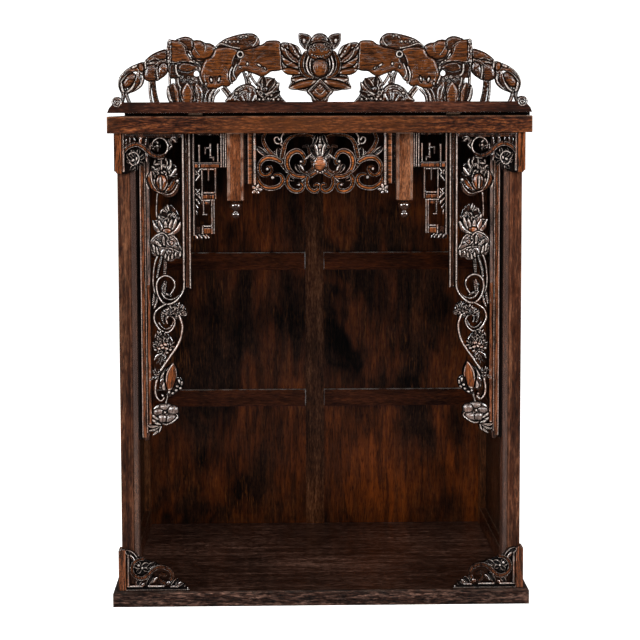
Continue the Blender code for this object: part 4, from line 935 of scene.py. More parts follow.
def side_first_lotus(b):
    """The uppermost lotus bud with its stem and a crown of petals."""
    b.band([(37, -93), (35, -104), (34, -118), (33.5, -130), (35, -141), (40, -150)], 3.6, 13.2, "round")
    crown = [(25.8, -66), (26.4, -54), (30.7, -45.4), (36.4, -41.5), (43.6, -39.6), (50.7, -42.5),
        (56, -42.5), (58, -49), (66, -53), (68.8, -61), (66.5, -70), (56, -75), (46, -76), (34, -74)]
    b.leaf(crown, 10.0, 2.0)
    tangle(b, crown, 46, 9.0, 14.2, (47, -78), 5)
    b.petals(((54, -60), (56.5, -42.5), 5.0, 15.0, -0.35, "round", 0.5),
        ((58, -70), (66.5, -57), 8.0, 14.4, -0.2, "round", 0.5))
    b.band([(44, -100), (52, -103), (60, -101), (67.5, -93), (71, -82)], [4, 6.5, 7.5, 6.5, 3.5], 14.2,
        "left", 0.3)
    b.band([(46, -95.5), (53, -93.0), (60, -86), (65, -79), (70, -75)], [5, 8, 9.0, 8.5, 5], 14.6, "edged",
        1.0)
    b.ball(69, -78.5, 3.6, 4.2, 15.2, -30)
    b.petal((42, -97), (25.6, -62), 15, 13.2, 0.42, "soft", 0.5, 0.8)
    b.line([(25.8, -62), (25.8, -73), (28.6, -84), (34.5, -92.5), (42, -95.5)], 2.2, 1.8, 1.2)
    b.ball(42.4, -82, 11.2, 15.8, 15.2, 2.0, tone=1.0, kind="soft")
    # A painted pale highlight down the bud's middle, over a raised keel whose ridge gets a painted highlight
    # too.
    b.petal((41.4, -91), (41.0, -71), 7.0, 16.2, 0.0, "round", 0.6, -1.0)
    b.line([(41.4, -88), (41.0, -80), (41.2, -73)], 2.6, 1.0, 0.0)
    b.line([(33.6, -66), (31.0, -77), (32.6, -87), (38.5, -94.5)], 2.0, 1.6, 1.0)
    b.line([(50.6, -68), (52.6, -78), (51.0, -86), (46, -94)], 2.0, 1.6, 1.0)


def side_second_lotus(b):
    """The open lotus under it, with a ruffled crown."""
    crown = [(33, -154), (34, -140), (39, -131), (46, -122), (54, -119), (61, -121), (65, -128), (70, -134),
        (71, -146), (64, -152), (44, -154)]
    b.leaf([(30, -160), (34, -140), (46, -122), (54, -119), (61, -121), (70, -134), (71, -152), (58, -164),
        (44, -166)], 9.8, 2.0)
    tangle(b, crown, 44, 8.4, 13.8, (50, -160), 11)
    b.petal((41, -158), (27.0, -143), 9, 13.4, 0.3, "soft", 0.5)
    for base, tip, width, bend, high in (((52, -167), (73, -146), 9, -0.4, 15.0),
            ((48, -166), (29, -147), 9, 0.35, 14.6), ((52, -164), (66, -140), 8, -0.25, 14.4),
            ((48, -165), (38, -143), 9, 0.2, 14.8), ((51, -165), (59, -142), 8.5, -0.1, 15.2),
            ((50, -166), (48, -144), 9, 0.0, 15.4)):
        # These petals have a slight painted pale sheen.
        b.petal(base, tip, width, high, bend, "round", 0.6, -0.3, point=0.12)
    b.ball(50.5, -161, 8.5, 5.2, 15.2, tone=1.0)


def side_folded_leaf(b):
    """The big folded lotus leaf with its rolled rim and ruffled lower edge."""
    outline = [(22.5, -178), (27.8, -171), (36.4, -164.5), (43.6, -162.4), (50.7, -167), (54.5, -169),
        (61.8, -168.5), (68, -174.5), (72, -184), (77, -193.5), (76, -202), (71, -208.5), (65, -207.5),
        (60.8, -211.4), (54.5, -213), (48, -210.7), (43.6, -204), (36.4, -202.5), (29, -204), (24, -196.4),
        (22, -186)]
    # The folded leaf has a painted pale sheen.
    b.leaf(outline, 12.2, 3.0, tone=-0.5)
    b.veins(outline, (50, -186), 9, 1.4)
    inner = [(28, -176), (44, -169), (60, -174), (70, -188), (68, -200), (50, -204), (30, -200), (25, -188)]
    tangle(b, inner, 20, 10.0, 13.6, (50, -186), 3)
    b.line([(22.8, -179), (29, -171.6), (37, -166.4), (43.6, -164.8), (50, -169), (53, -174), (50, -180)],
        2.4, 2.0, 1.3)
    b.line([(54, -171), (61, -170), (67, -175.5), (70.5, -185), (75.5, -194)], 2.2, 1.8, 1.3)
    b.petals(((40, -186), (32, -177.5), 8.5, 15.6, 0.15, "round", 0.6),
        ((30, -196), (26.6, -183), 6.0, 15.2, -0.1, "round", 0.6),
        ((36, -200), (33.4, -187), 5.4, 15.0, 0.1, "round", 0.6),
        ((46, -184), (45.5, -170), 7.0, 15.2, 0.1, "round", 0.6))
    b.ball(58, -181.5, 4.4, 4.4, 14.6, tone=0.4)
    b.swell(58, -181.5, 2.4, 2.4, -2.6)
    b.line([(40, -188.5), (50, -190.5), (60, -191.5), (72, -198)], 2.2, 1.4, 1.2)
    for x, z, tall in ((47.0, -203.5, 8), (52.0, -207.0, 9), (58.5, -203.5, 9), (64, -200.0, 8),
            (71.5, -200.0, 9)):
        b.petal((x + 1.0, z + tall / 2), (x, z - tall / 2), 5.0, 15.4, 0.1, "round", belly=0.6, point=0.3)


def side_stalks(b):
    """The stalks that fall from the leaf to the first scroll."""
    b.band([(35, -202), (31, -212), (28.4, -224), (27.0, -240), (27.4, -254), (30, -266)], 3.6, 13.4)
    b.band([(42, -204), (38, -218), (35, -230), (33.5, -240)], 6.0, 12.0, "soft")
    b.beads([(42, -206), (38, -219), (35.5, -229), (34.5, -237)], 1.5, 2.8, 13.4)
    b.band([(48, -206), (47, -220), (46.5, -233)], 6.4, 12.2, "soft")
    b.beads([(46.4, -208), (45.6, -220), (45.4, -232)], 1.4, 2.8, 13.4)
    b.beads([(49.4, -208), (48.4, -220), (47.8, -232)], 1.4, 2.8, 13.4)


def side_scrolls(b):
    """Two scrolls, with a dotted leaf inside each."""
    b.petal((45, -273), (47, -243), 10.5, 12.2, 0.14, "soft", 0.5)
    b.beads([(45.5, -246), (42.8, -257), (42.5, -269)], 1.4, 2.8, 13.6)
    b.beads([(49.0, -247), (47.0, -258), (46.0, -269)], 1.4, 2.8, 13.6)
    b.petal((56, -270), (47, -265), 7.0, 12.6, 0.1, "soft", 0.6)
    b.band([(77.0, -256), (72.5, -265.5), (63.5, -273.6), (54, -275.8), (46, -272.5), (41, -265)], 2.8, 13.6)
    b.band([(78.2, -248), (77.4, -259), (72.8, -269), (64, -278.4), (54, -283.2), (45, -281.8), (38, -274.5),
        (33.6, -263), (32.9, -251), (36.5, -241.6), (44.5, -236.4), (53, -237), (60.4, -243.2),
        (62.9, -251.5), (60.6, -259.5), (55.5, -267)],
        [3.8, 4.0, 4.2, 4.4, 4.4, 4.2, 4.2, 4.0, 4.0, 4.0, 4.0, 3.8, 3.8, 3.8, 3.6, 3.2], 15.0)
    b.petal((28, -266), (25, -287), 7.5, 12.4, 0.1, "soft", 0.5)
    b.beads([(27.4, -268), (26.0, -276), (25.6, -284)], 1.4, 2.8, 13.4)
    b.petals(((34, -272), (27, -292), 7.0, 12.8, 0.1, "soft", 0.5),
        ((44, -316), (41.5, -294), 8.5, 12.2, 0.1, "soft", 0.5))
    b.beads([(40.6, -298), (40.6, -306), (42.6, -314)], 1.4, 2.8, 13.6)
    b.petal((50, -316), (47, -304), 6.0, 12.4, 0.1, "soft", 0.5)
    b.band([(60, -312), (56, -321.5), (48, -325.2), (41.5, -322), (36, -315)], 2.6, 13.6)
    b.band([(48, -283), (38, -289), (30.5, -296.5), (28.0, -307), (31, -317), (38, -326.4), (47.9, -331.0),
        (56.9, -326.4), (62.6, -315.3), (59.6, -305.6), (52.8, -302.9), (48.8, -306.9)],
        [3.6, 4.0, 4.2, 4.2, 4.2, 4.0, 4.0, 3.8, 3.4], 15.0)


def side_blossoms(b):
    """The ruffled leaf at the second scroll, the long stem and the full blossom beside it."""
    outline = [(41, -299), (45, -292), (54, -289.0), (61, -284), (68, -281.5), (76, -285), (81, -293),
        (80.5, -302), (74, -306.5), (66, -308.5), (58, -304), (49, -303)]
    b.leaf(outline, 11.0, 2.5)
    tangle(b, outline, 52, 7.0, 14.4, (60, -300), 21)
    b.band([(64, -304.5), (70, -304), (72.5, -299)], 3.2, 15.4)
    b.band([(69.5, -303), (74.6, -318), (73.6, -332), (70.5, -344), (62.5, -359), (51.5, -374.5),
        (42.2, -388.3), (34.6, -400), (30.0, -416), (28.6, -431), (32.0, -441.4), (37.8, -445.6),
        (42.8, -441), (40.6, -436)], [4.5, 5.2, 5.2, 5.2, 5.2, 5.0, 4.8, 4.8, 4.8, 4.8, 4.6, 4.4, 3.8, 3.4],
        15.4, "round", 0.5)
    b.ball(40.8, -437, 2.8, 2.8, 15.0)
    blossom = [(28, -338), (33, -331.5), (41, -329.5), (50, -333), (56, -340), (60, -349), (58, -358),
        (50, -364), (40, -366), (30, -362), (27, -350)]
    b.leaf(blossom, 10.8, 2.5)
    tangle(b, blossom, 64, 6.6, 14.8, (43, -350), 8, 0.6)
    for x, z, turn in ((36, -358, 0), (42, -356.5, 20), (48, -358, -15), (39, -352.5, 10), (46, -351, -20)):
        b.ball(x, z, 4.2, 2.6, 14.8, turn, tone=1.0)
    for x, z in ((29.5, -360), (34.5, -364.6), (41.5, -366.6), (48.5, -364.8), (54.5, -360)):
        b.ball(x, z, 3.4, 2.4, 15.4)
    tangle(b, [(33, -368), (46, -368), (46, -376), (38, -384), (30, -382)], 16, 7.0, 13.0, (48, -362), 9)
    b.petal((40, -366), (27, -378), 9, 12.8, -0.2, "soft", 0.5)


def flower(b, x, z, radius, petals, high):
    """Petals round a small heart."""
    width = 2.2 * math.pi * radius * 0.62 / petals
    for k in range(petals):
        angle = math.radians(k * 360.0 / petals)
        heart, tip = ((x + reach * math.cos(angle), z + reach * math.sin(angle))
                      for reach in (radius * 0.15, radius))
        b.petal(heart, tip, width, high, 0.0, "round", 0.4, belly=0.62, point=0.25)
    b.ball(x, z, radius * 0.3, radius * 0.3, high + 0.8)


def side_lower_flowers(b):
    """The lily bud with its berries and the trumpet flower at the end."""
    tangle(b, [(23.6, -395.2), (33.7, -391.6), (37.4, -402.3), (30, -414), (23, -411.8)], 18, 7.0, 13.6,
        (41, -411.8), 13)
    b.band([(50.8, -427.8), (48.6, -439.6), (45.4, -451.4), (44.3, -461.3)], 4.0, 12.8)
    # The lily's left petal has a painted pale sheen.
    b.petal((42.8, -425.8), (48.8, -390.4), 15, 13.8, 0.22, "soft", 0.5, -0.9)
    b.line([(36.5, -416), (39.3, -404.7), (47.7, -392.2)], 2.6, 2.0, 1.2)
    b.petals(((36.8, -423.8), (44.2, -407.1), 8, 12.6, 0.25, "round", 0.5),
        ((52.8, -426.8), (59.6, -382.1), 24, 15.6, 0.06, "soft", 0.45, 0.9))
    b.grooves([[(51.9, -421.9), (53.7, -407.1), (57.8, -390.4)],
        [(56.8, -422.8), (59.2, -408.2), (59.8, -390.4)]], 1.2, 0.5)
    b.line([(47, -416), (48.9, -399.9), (56.6, -385.6), (60.1, -382.5)], 2.4, 1.4, 0.6)
    b.line([(62.6, -416), (64.2, -402.3), (62.4, -389.2)], 1.8, 1.0, 0.5)
    b.leaf([(56.8, -425.8), (63.1, -409.4), (69.2, -405.9), (75, -413), (74.4, -421.9), (67.7, -429.7),
        (58.6, -437.1), (49.6, -438.1), (48.7, -429.7)], 11.0, 2.5)
    for x, z, rx, rz, tilt in ((68.5, -413, 2.6, 4.8, 12), (72.9, -416.5, 2.4, 4.6, -6),
            (65.3, -421.5, 3.0, 2.6, 0), (70.4, -424.8, 3.2, 2.4, 40), (63.2, -428.2, 3.4, 2.4, 30),
            (57.3, -433.3, 3.2, 2.6, 20), (51.7, -431.3, 2.6, 3.0, 0)):
        b.ball(x, z, rx, rz, 15.2, tilt)
    outline = [(23, -462.4), (28.5, -455), (37.1, -451.6), (44.3, -450.8), (51.4, -451), (58.9, -456.9),
        (65.8, -465.5), (67.9, -474.3), (62.9, -480.7), (53.9, -485), (47.1, -486.9), (40, -485.2),
        (34.2, -483), (27.4, -483), (22.7, -477.2), (23.5, -470.8)]
    b.leaf(outline, 12.0, 4.0)
    for x, z, rx, rz, high, tilt in ((43.3, -456.9, 10.0, 6.4, 14.2, 8), (32.7, -465.2, 9.6, 6.8, 13.8, 12),
            (57.2, -463.2, 9.6, 9.4, 13.8, -30), (53.8, -476.4, 11.4, 8.6, 14.4, 14),
            (39.3, -476.4, 8.6, 8.4, 13.8, -20)):
        # The trumpet's petals have a painted pale sheen.
        b.ball(x, z, rx, rz, high, tilt, tone=-0.8, kind="soft")
    for stop in ((43.4, -454.4), (28.2, -465.2), (62.3, -460.3), (61.3, -477.8), (38.3, -481.7)):
        b.groove([(44.2, -465.2), stop], 1.3, 0.4, 1)
    b.band([(63.5, -468.9), (65.7, -473.3), (60.1, -478.8), (53.9, -483), (46.5, -486), (39.4, -484.6)],
        [2.0, 3.4, 3.6, 3.4, 3.2, 2.0], 15.8)
    b.ball(44.2, -465.2, 2.6, 2.6, 16.6)
    b.petals(((32.3, -476.8), (23.2, -469.1), 7, 14.6, 0.2, "round", 0.5),
        ((31.3, -481.7), (22.7, -476.8), 6.4, 15.4, 0.2, "round", 0.5),
        ((36.4, -485.6), (26.3, -481.7), 6.4, 15.0, 0.1, "round", 0.5),
        ((34.4, -488.5), (15.4, -487.5), 8.0, 14.4, 0.25, "soft", 0.6, 0.5),
        ((34.4, -490.4), (16.9, -496.2), 7.0, 14.8, 0.2, "soft", 0.6),
        ((35.4, -492.4), (23, -504), 6.6, 14.4, 0.15, "soft", 0.6),
        ((37.4, -489.4), (33, -500.1), 6.0, 14.4, 0.1, "soft", 0.6))
    b.lines([[(32.4, -488.5), (18.4, -488.5)], [(32.4, -491.4), (18.9, -496.2)],
        [(33.4, -493.3), (24.5, -502.1)]], 1.5, 1.0, 0.8)


def side_board():
    """One hanging side of the apron."""
    b = Board(0.3, 90.6, -514.5, -0.3, 0.75, 9.0)
    for part in (side_strips, side_first_lotus, side_stalks, side_second_lotus, side_folded_leaf,
                 side_scrolls, side_blossoms, side_lower_flowers):
        part(b)
    return b


# The crest, its X from the middle and its heights from the rail's top, in millimetres
def mirrored_halves(b, forms):
    """Lays the same forms on the left and on the right."""
    for sign in (1.0, -1.0):
        b.sign = sign
        forms(b)
    b.sign = 1.0


def crest_bud(b):
    """The drooping bud at the crest's end, with its volute."""
    b.band([(-326, -0.5), (-323, 10), (-326, 22)], 6.0, 12.5)
    b.band([(-313.5, -0.5), (-317, 9), (-320, 22)], 5.5, 12.8)
    b.band([(-319, 17), (-308, 19), (-298, 24.5), (-292, 32), (-290, 44), (-288, 56)], [6.0, 5.0, 5.0, 7.0],
        13.2)
    b.leaf([(-326, 14), (-331, 26), (-330, 39), (-322, 50), (-311, 58), (-302, 62), (-290, 66), (-286, 60),
        (-288, 50), (-293, 44), (-302, 50), (-312, 46), (-322, 36), (-325, 24)], 13.4, 3.0)
    b.line([(-329, 20), (-330.5, 30), (-327, 41), (-319, 50.5), (-308, 57), (-296, 62)], 2.4, 1.3, 0.8)
    b.line([(-326, 22), (-327, 31), (-321, 40), (-312, 47), (-302, 50)], 2.6, 1.8, 1.2)
    b.ball(-293, 57, 5.0, 8.0, 14.6, 15, tone=1.0)
    b.ball(-304, 57.5, 6.5, 3.6, 15.2, 25)
    b.petal((-317, 16), (-298, 51), 12, 13.8, -0.28, "round", 0.5)
    b.ball(-313, 35.5, 8.2, 15.0, 15.4, -38, tone=0.7)
    b.grooves([[(-322, 26), (-313, 35), (-305, 46)]], 1.4, 0.8)
    b.petals(((-322, 17), (-325, 33), 6.5, 15.0, 0.2, "round", 0.6),
        ((-316, 17), (-303, 33), 6.0, 15.0, -0.2, "round", 0.6))
    b.ball(-333, 0.5, 8.0, 8.6, 13.6, low=8.0)
    b.ring(-333, 0.5, 5.4, 3.0, 15.6, 9.0)
    b.ball(-333, 0.5, 2.6, 2.6, 15.0, low=9.0)


def crest_cluster(b):
    """The folded leaves on a stem beside the bud."""
    b.leaf([(-204, 69), (-189, 71), (-185, 60), (-191, 51), (-199, 57)], 11.0, 1.0)
    b.band([(-268.5, -0.5), (-272, 16), (-274, 38)], [8.5, 7.5, 7.5], 13.4, "edged", 0.4)
    b.band([(-277, -0.5), (-279.5, 16), (-279, 38)], [4.0, 4.0, 5.0], 12.8)
    b.leaf([(-288, 58), (-284, 67), (-276, 77), (-264, 83), (-252, 86), (-245, 72), (-246, 56), (-252, 46.5),
        (-258, 42), (-264, 36), (-272, 34), (-284, 34.5), (-290, 42)], 13.2, 5.0, tone=0.3)
    b.leaf([(-288, 64), (-282, 73), (-268, 82), (-250, 86), (-250, 72), (-262, 68), (-274, 66)], 14.0, 6.0,
        tone=0.3)
    b.leaf([(-289, 42), (-283, 35), (-270, 35), (-267, 44), (-266, 56), (-270, 62), (-278, 62), (-286, 58)],
        14.6, 9.0, tone=0.3)
    b.leaf([(-266, 38), (-260, 39), (-251, 47), (-249, 58), (-254, 66), (-262, 63), (-266.5, 54)], 14.2, 7.0)
    b.petals(((-285, 55), (-285.5, 70), 4.0, 15.2, 0.1, "round", 0.8),
        ((-265, 37), (-266.5, 60), 3.6, 15.2, 0.1, "round", 0.6))
    b.lines([[(-279, 54), (-271, 60), (-262, 67), (-258, 69)], [(-275, 74), (-264, 69.5), (-250, 64)],
        [(-285, 60), (-279, 67), (-268, 73)]], 1.8, 1.1, 0.8)
    for x, z in ((-263, 48), (-260, 53), (-262, 58), (-257, 50), (-256, 57), (-259, 44)):
        b.swell(x, z, 1.2, 1.6, 0.9)


def crest_upright(b):
    """The upright leaf with a rolled and dotted edge, and the leaf behind it."""
    behind = [(-236, 100), (-228, 105), (-218, 106.5), (-211, 104.5), (-207, 101), (-200, 101.6), (-193, 98),
        (-187, 96), (-180, 95.6), (-174, 91.5), (-171, 84), (-176, 74), (-190, 66), (-204, 66), (-218, 82)]
    b.leaf(behind, 12.8, 6.0, tone=0.5)
    b.leaf([(-210, 102), (-206, 100), (-196, 101), (-188, 97), (-180, 96), (-172, 91), (-170, 82),
        (-178, 72), (-192, 68), (-206, 72), (-212, 86)], 14.0, 9.0, tone=0.8)
    b.leaf([(-234, 101), (-222, 107), (-210, 104), (-206, 94), (-210, 84), (-222, 88)], 13.2, 5.0, tone=0.2)
    b.lines([[(-208, 103), (-207, 94), (-203, 84), (-196, 75)], [(-190, 96.5), (-187, 90), (-189, 82)]], 1.8,
        1.0, 1.6)
    b.line([(-173, 90), (-173.2, 77)], 2.6, 1.6, 0.8)
    b.leaf([(-250, 62), (-251, 80), (-247, 100), (-238, 101.5), (-230, 100), (-222, 95), (-218, 87),
        (-216, 78), (-209, 70), (-200, 63), (-196, 52), (-210, 56), (-236, 58)], 14.2, 5.0, tone=0.7)
    b.line([(-232, 99), (-223, 94.5), (-218.5, 88), (-217, 80), (-211, 72.5), (-204, 67), (-198, 61.5),
        (-195, 54), (-197, 45)], 2.4, 1.9, 1.2)
    b.line([(-228, 95), (-222, 89), (-220, 81), (-214, 71)], 1.6, 1.0, 0.6)
    b.line([(-244, 65), (-234, 64.5), (-222, 65.5), (-212, 64)], 2.2, 1.6, 1.0)
    for x, z in ((-211, 71), (-206, 67), (-201, 64)):
        b.ball(x, z, 2.6, 1.8, 16.0, -35)
    b.band([(-246.5, 61), (-246.5, 72), (-246.8, 86), (-246, 99)], [6.5, 8.5, 9.0, 7.5], 15.0, "flat")
    chance = np.random.default_rng(17)
    for _ in range(44):
        b.swell(-246.6 + chance.uniform(-3.6, 3.6), chance.uniform(62, 99), 0.9, 1.1, -1.5)
    for x, z in ((-246, 96), (-248, 91), (-244.6, 87), (-248, 82), (-244.6, 77), (-248, 72), (-245, 66)):
        b.swell(x, z, 1.3, 1.5, 1.6)


def crest_low_lotus(b):
    """The low lotus on the rail under the upright leaf, with its seed pod."""
    b.band([(-246.5, 26), (-246.8, 44), (-247, 62)], 4.2, 14.2)
    b.leaf([(-243, 0), (-244, 26), (-239, 29.5), (-239, 38), (-246, 40), (-247, 60), (-238, 64), (-222, 66),
        (-204, 63), (-194, 56), (-188, 40), (-188, -0.5), (-212, -0.5)], 11.6, 3.0)
    b.leaf([(-232, 53), (-226, 64), (-208, 62), (-199, 55), (-208, 52), (-218, 49)], 13.6, 3.0, tone=0.2)
    b.band([(-236, 60), (-235.5, 50), (-232, 43.5), (-226, 42)], 4.0, 14.8)
    b.band([(-233, 38), (-232, 30), (-229, 24)], 3.6, 14.2)
    b.cut([(-202, 51), (-198.4, 47), (-199, 43), (-203, 42), (-206.8, 44), (-206.5, 49)])
    b.band([(-197, 56), (-195, 48), (-197, 40), (-193, 30)], 4.4, 14.0)
    for x, z in ((-222, 36), (-215.5, 40), (-212, 33), (-203.5, 36.5), (-227, 40), (-208, 39)):
        b.ball(x, z, 3.2, 3.2, 14.6)
        b.ball(x, z, 1.4, 1.4, 12.4, low=11.0)
    b.petals(((-186, -4), (-193, 29), 15, 13.2, -0.1, "cup", 0.6),
        ((-198, -4), (-203, 31), 15, 13.8, -0.1, "round", 0.6),
        ((-236, -6), (-241, 31), 21, 14.4, 0.16, "right", 0.6, 0.7),
        ((-242, -2), (-249.5, 27), 7, 14.8, 0.14, "round", 0.6),
        ((-218, -6), (-217.5, 31), 23, 15.4, 0.0, "round", 0.7, 0.7))
    b.line([(-229, 26), (-229, 12), (-225, 0)], 2.4, 1.2, 1.0)
    b.line([(-212, 28), (-207, 16), (-205, 2)], 2.4, 1.2, 1.0)
    b.line([(-204, 26), (-200, 14), (-199, 4)], 2.2, 1.0, 0.8)


def crest_broad_leaf(b):
    """The broad lotus leaf on two legs."""
    b.band([(-188, -0.5), (-186, 12), (-178, 24)], 6.0, 12.0)
    b.band([(-182, -0.5), (-180, 11), (-172, 23)], 6.0, 13.6)
    b.band([(-176.5, -0.5), (-174, 10), (-166, 19.5)], 4.2, 12.4)
    b.band([(-149, -0.5), (-151, 9), (-160, 21)], 5.0, 13.6)
    b.band([(-144.5, 1), (-147, 12), (-157, 25)], 5.0, 12.6)
    b.ball(-146, 5, 4.4, 4.6, 14.0)
    b.ball(-146, 5, 1.8, 1.8, 12.2, low=11.0)
    main = [(-197, 46), (-193, 60), (-188, 70), (-178, 76), (-171, 88), (-156, 91), (-140, 90), (-134, 84),
        (-136, 72), (-141, 62), (-146, 52), (-147, 42), (-145, 32), (-151, 25), (-160, 26), (-170, 22),
        (-182, 22), (-190, 28), (-194, 36)]
    b.leaf(main, 14.4, 6.0, tone=0.75)
    b.veins(main, (-166, 44), 11, 0.45, 0.3)
    b.swell(-172, 37, 5, 8, -2.2)
    b.balls((-178.5, 36, 3.4, 6.0, 15.0, 12), (-165.5, 37, 3.0, 6.4, 15.2, -14))
    b.band([(-141, 61), (-145, 54), (-147.6, 45), (-147, 36), (-144.5, 31)], [4.0, 5.5, 6.0, 4.0], 15.0)
    b.lines([[(-188, 50), (-190, 40), (-186, 30)], [(-160, 60), (-152, 50), (-152, 38)]], 2.0, 0.5, 0.8)
    b.ball(-187, 29.5, 2.6, 4.0, 14.4)


def crest_top_leaf(b):
    """The leaf with bosses along it at the top, and the ragged leaf that hangs from it."""
    b.leaf([(-144, 62), (-136, 80), (-126, 80), (-128, 60), (-138, 50)], 11.4, 1.0)
    ragged = [(-138, 60), (-132, 70), (-134, 84), (-118, 90), (-99, 93), (-93, 95), (-87, 99.5),
        (-78, 100.6), (-70, 100.2), (-64.5, 96.5), (-62, 80), (-60, 56), (-64, 52), (-72, 50), (-80, 49.5),
        (-88, 44), (-96, 41), (-104, 44), (-112, 47), (-120, 50), (-128, 48.5), (-134, 42), (-140, 34),
        (-146, 34), (-146, 50)]
    b.leaf(ragged, 13.6, 4.5, tone=0.65)
    b.veins(ragged, (-112, 62), 10, 0.4, 1.0)
    b.swell(-92, 55, 7, 4, -1.6, -40)
    b.lines([[(-124, 60), (-112, 56), (-98, 52)]], 2.0, 0.6, 0.6)
    b.balls((-99.5, 60, 5.2, 2.6, 15.4, -38), (-90, 55, 4.0, 1.8, 14.2, -45), (-119, 62, 2.6, 4.0, 15.6),
        (-131, 57, 2.4, 3.0, 15.0))
    b.band([(-137, 61), (-141, 52), (-141.5, 44), (-138, 38)], [3.6, 4.6, 3.6], 14.6)
    top = [(-171, 90), (-166, 96), (-157, 102.5), (-148, 106), (-138, 109), (-127, 111.4), (-113, 112.4),
        (-105, 109.5), (-99.5, 103), (-98.5, 95), (-104, 89), (-114, 87), (-128, 84), (-142, 87), (-158, 90)]
    b.leaf(top, 14.6, 4.5, tone=0.2)
    b.line([(-169, 92), (-162, 95), (-154, 93), (-144, 89.5), (-132, 87.5)], 2.6, 1.4, 1.4)
    b.line([(-103, 108), (-104, 99), (-110, 91)], 2.6, 1.2, 1.2)
    b.swell(-112, 98, 6, 8, -1.8)
    for x, z in ((-147.5, 98), (-140.5, 98), (-134, 98), (-129.5, 105.5), (-120.5, 107), (-153.5, 97)):
        b.ball(x, z, 2.7, 3.1, 16.0)
    b.ring(-130.5, 77.5, 4.6, 3.6, 15.6)
    b.ball(-130.5, 77.5, 2.4, 2.4, 11.6, low=9.0)


def crest_low_flower(b):
    """The mound, stalks and flower low on the rail."""
    b.band([(-120, 26), (-122, 38), (-126, 50)], 5.0, 12.4)
    b.band([(-104, 28), (-111, 38), (-117, 50)], 4.6, 12.8)
    b.band([(-114, 26), (-118, 40), (-112, 50)], 4.4, 13.4)
    b.band([(-103, 28), (-99, 36), (-94, 43)], 4.6, 12.6)
    b.beads([(-121, 46), (-118, 38), (-114, 32)], 1.8, 4.4, 14.2)
    mound = [(-153, -0.5), (-151, 8), (-145, 15), (-138, 23), (-128, 28.5), (-116, 29.5), (-107, 25),
        (-101, 14), (-96, -0.5)]
    b.leaf(mound, 14.4, 6.0)
    b.veins(mound, (-118, -8), 14, 1.5, 0.4)
    b.lines([[(-148, 4), (-141, 14), (-132, 22), (-122, 26), (-111, 24), (-104, 16)],
        [(-140, 3), (-134, 12), (-124, 18), (-113, 16)]], 2.4, 1.2, 1.0)
    b.balls((-137, 14, 4.0, 3.6, 16.0, 20), (-125.5, 25, 3.0, 2.4, 15.6))
    b.leaf([(-100, -0.5), (-101, 26), (-95, 36), (-88, 41), (-76, 38.5), (-69, 31), (-66.5, 20), (-65, 11),
        (-57, 1), (-54, -0.5)], 11.6, 3.0)
    b.petals(((-92, 16), (-101, 31), 9, 13.6, 0.1, "round", 0.6),
        ((-90, 18), (-92, 42), 11, 13.8, 0.0, "cup", 0.6),
        ((-88, 18), (-74, 39), 13, 14.0, 0.0, "cup", 0.5, 0.6),
        ((-88, 12), (-67, 33), 9, 15.2, -0.25, "round", 0.6),
        ((-88, 6), (-65, 18), 11, 15.0, -0.1, "cup", 0.6),
        ((-94, 8), (-104, 20), 8, 14.0, 0.2, "round", 0.6))
    b.ball(-90, 20, 5.0, 6.0, 12.6)
    b.ring(-98, 14, 3.0, 2.4, 15.0)
    for x, z in ((-101.5, 23), (-93, 4), (-85, 5), (-76.5, 4), (-68.5, 4), (-100, 4), (-80, 11)):
        b.ball(x, z, 2.6, 2.8, 15.2)


def crest_wing(b):
    """The leaf between the ragged leaf and the middle lotus."""
    outline = [(-65, 92), (-61, 97.3), (-50, 96.5), (-42, 94), (-35, 90), (-30, 80), (-30, 60), (-32, 44.5),
        (-46, 44), (-54, 45.5), (-60, 50), (-63, 58), (-64, 76)]
    b.leaf(outline, 12.4, 4.0)
    b.petals(((-37, 56), (-62, 72), 14, 13.6, 0.1, "soft", 0.6, 0.7),
        ((-34, 48), (-62, 52), 13, 14.0, 0.0, "soft", 0.7, 0.9),
        ((-36, 66), (-64, 90), 15, 13.8, 0.12, "soft", 0.6, 0.3),
        ((-35, 74), (-50, 96.5), 13, 14.2, 0.1, "soft", 0.6, 0.2))
    b.line([(-62, 94), (-57, 86), (-54, 78), (-47, 69), (-39, 64)], 2.2, 1.6, 1.0)
    b.line([(-56, 60), (-50, 62), (-42, 66)], 1.8, 1.0, 0.8)
    b.ball(-41, 82, 2.4, 3.6, 15.6, 30)


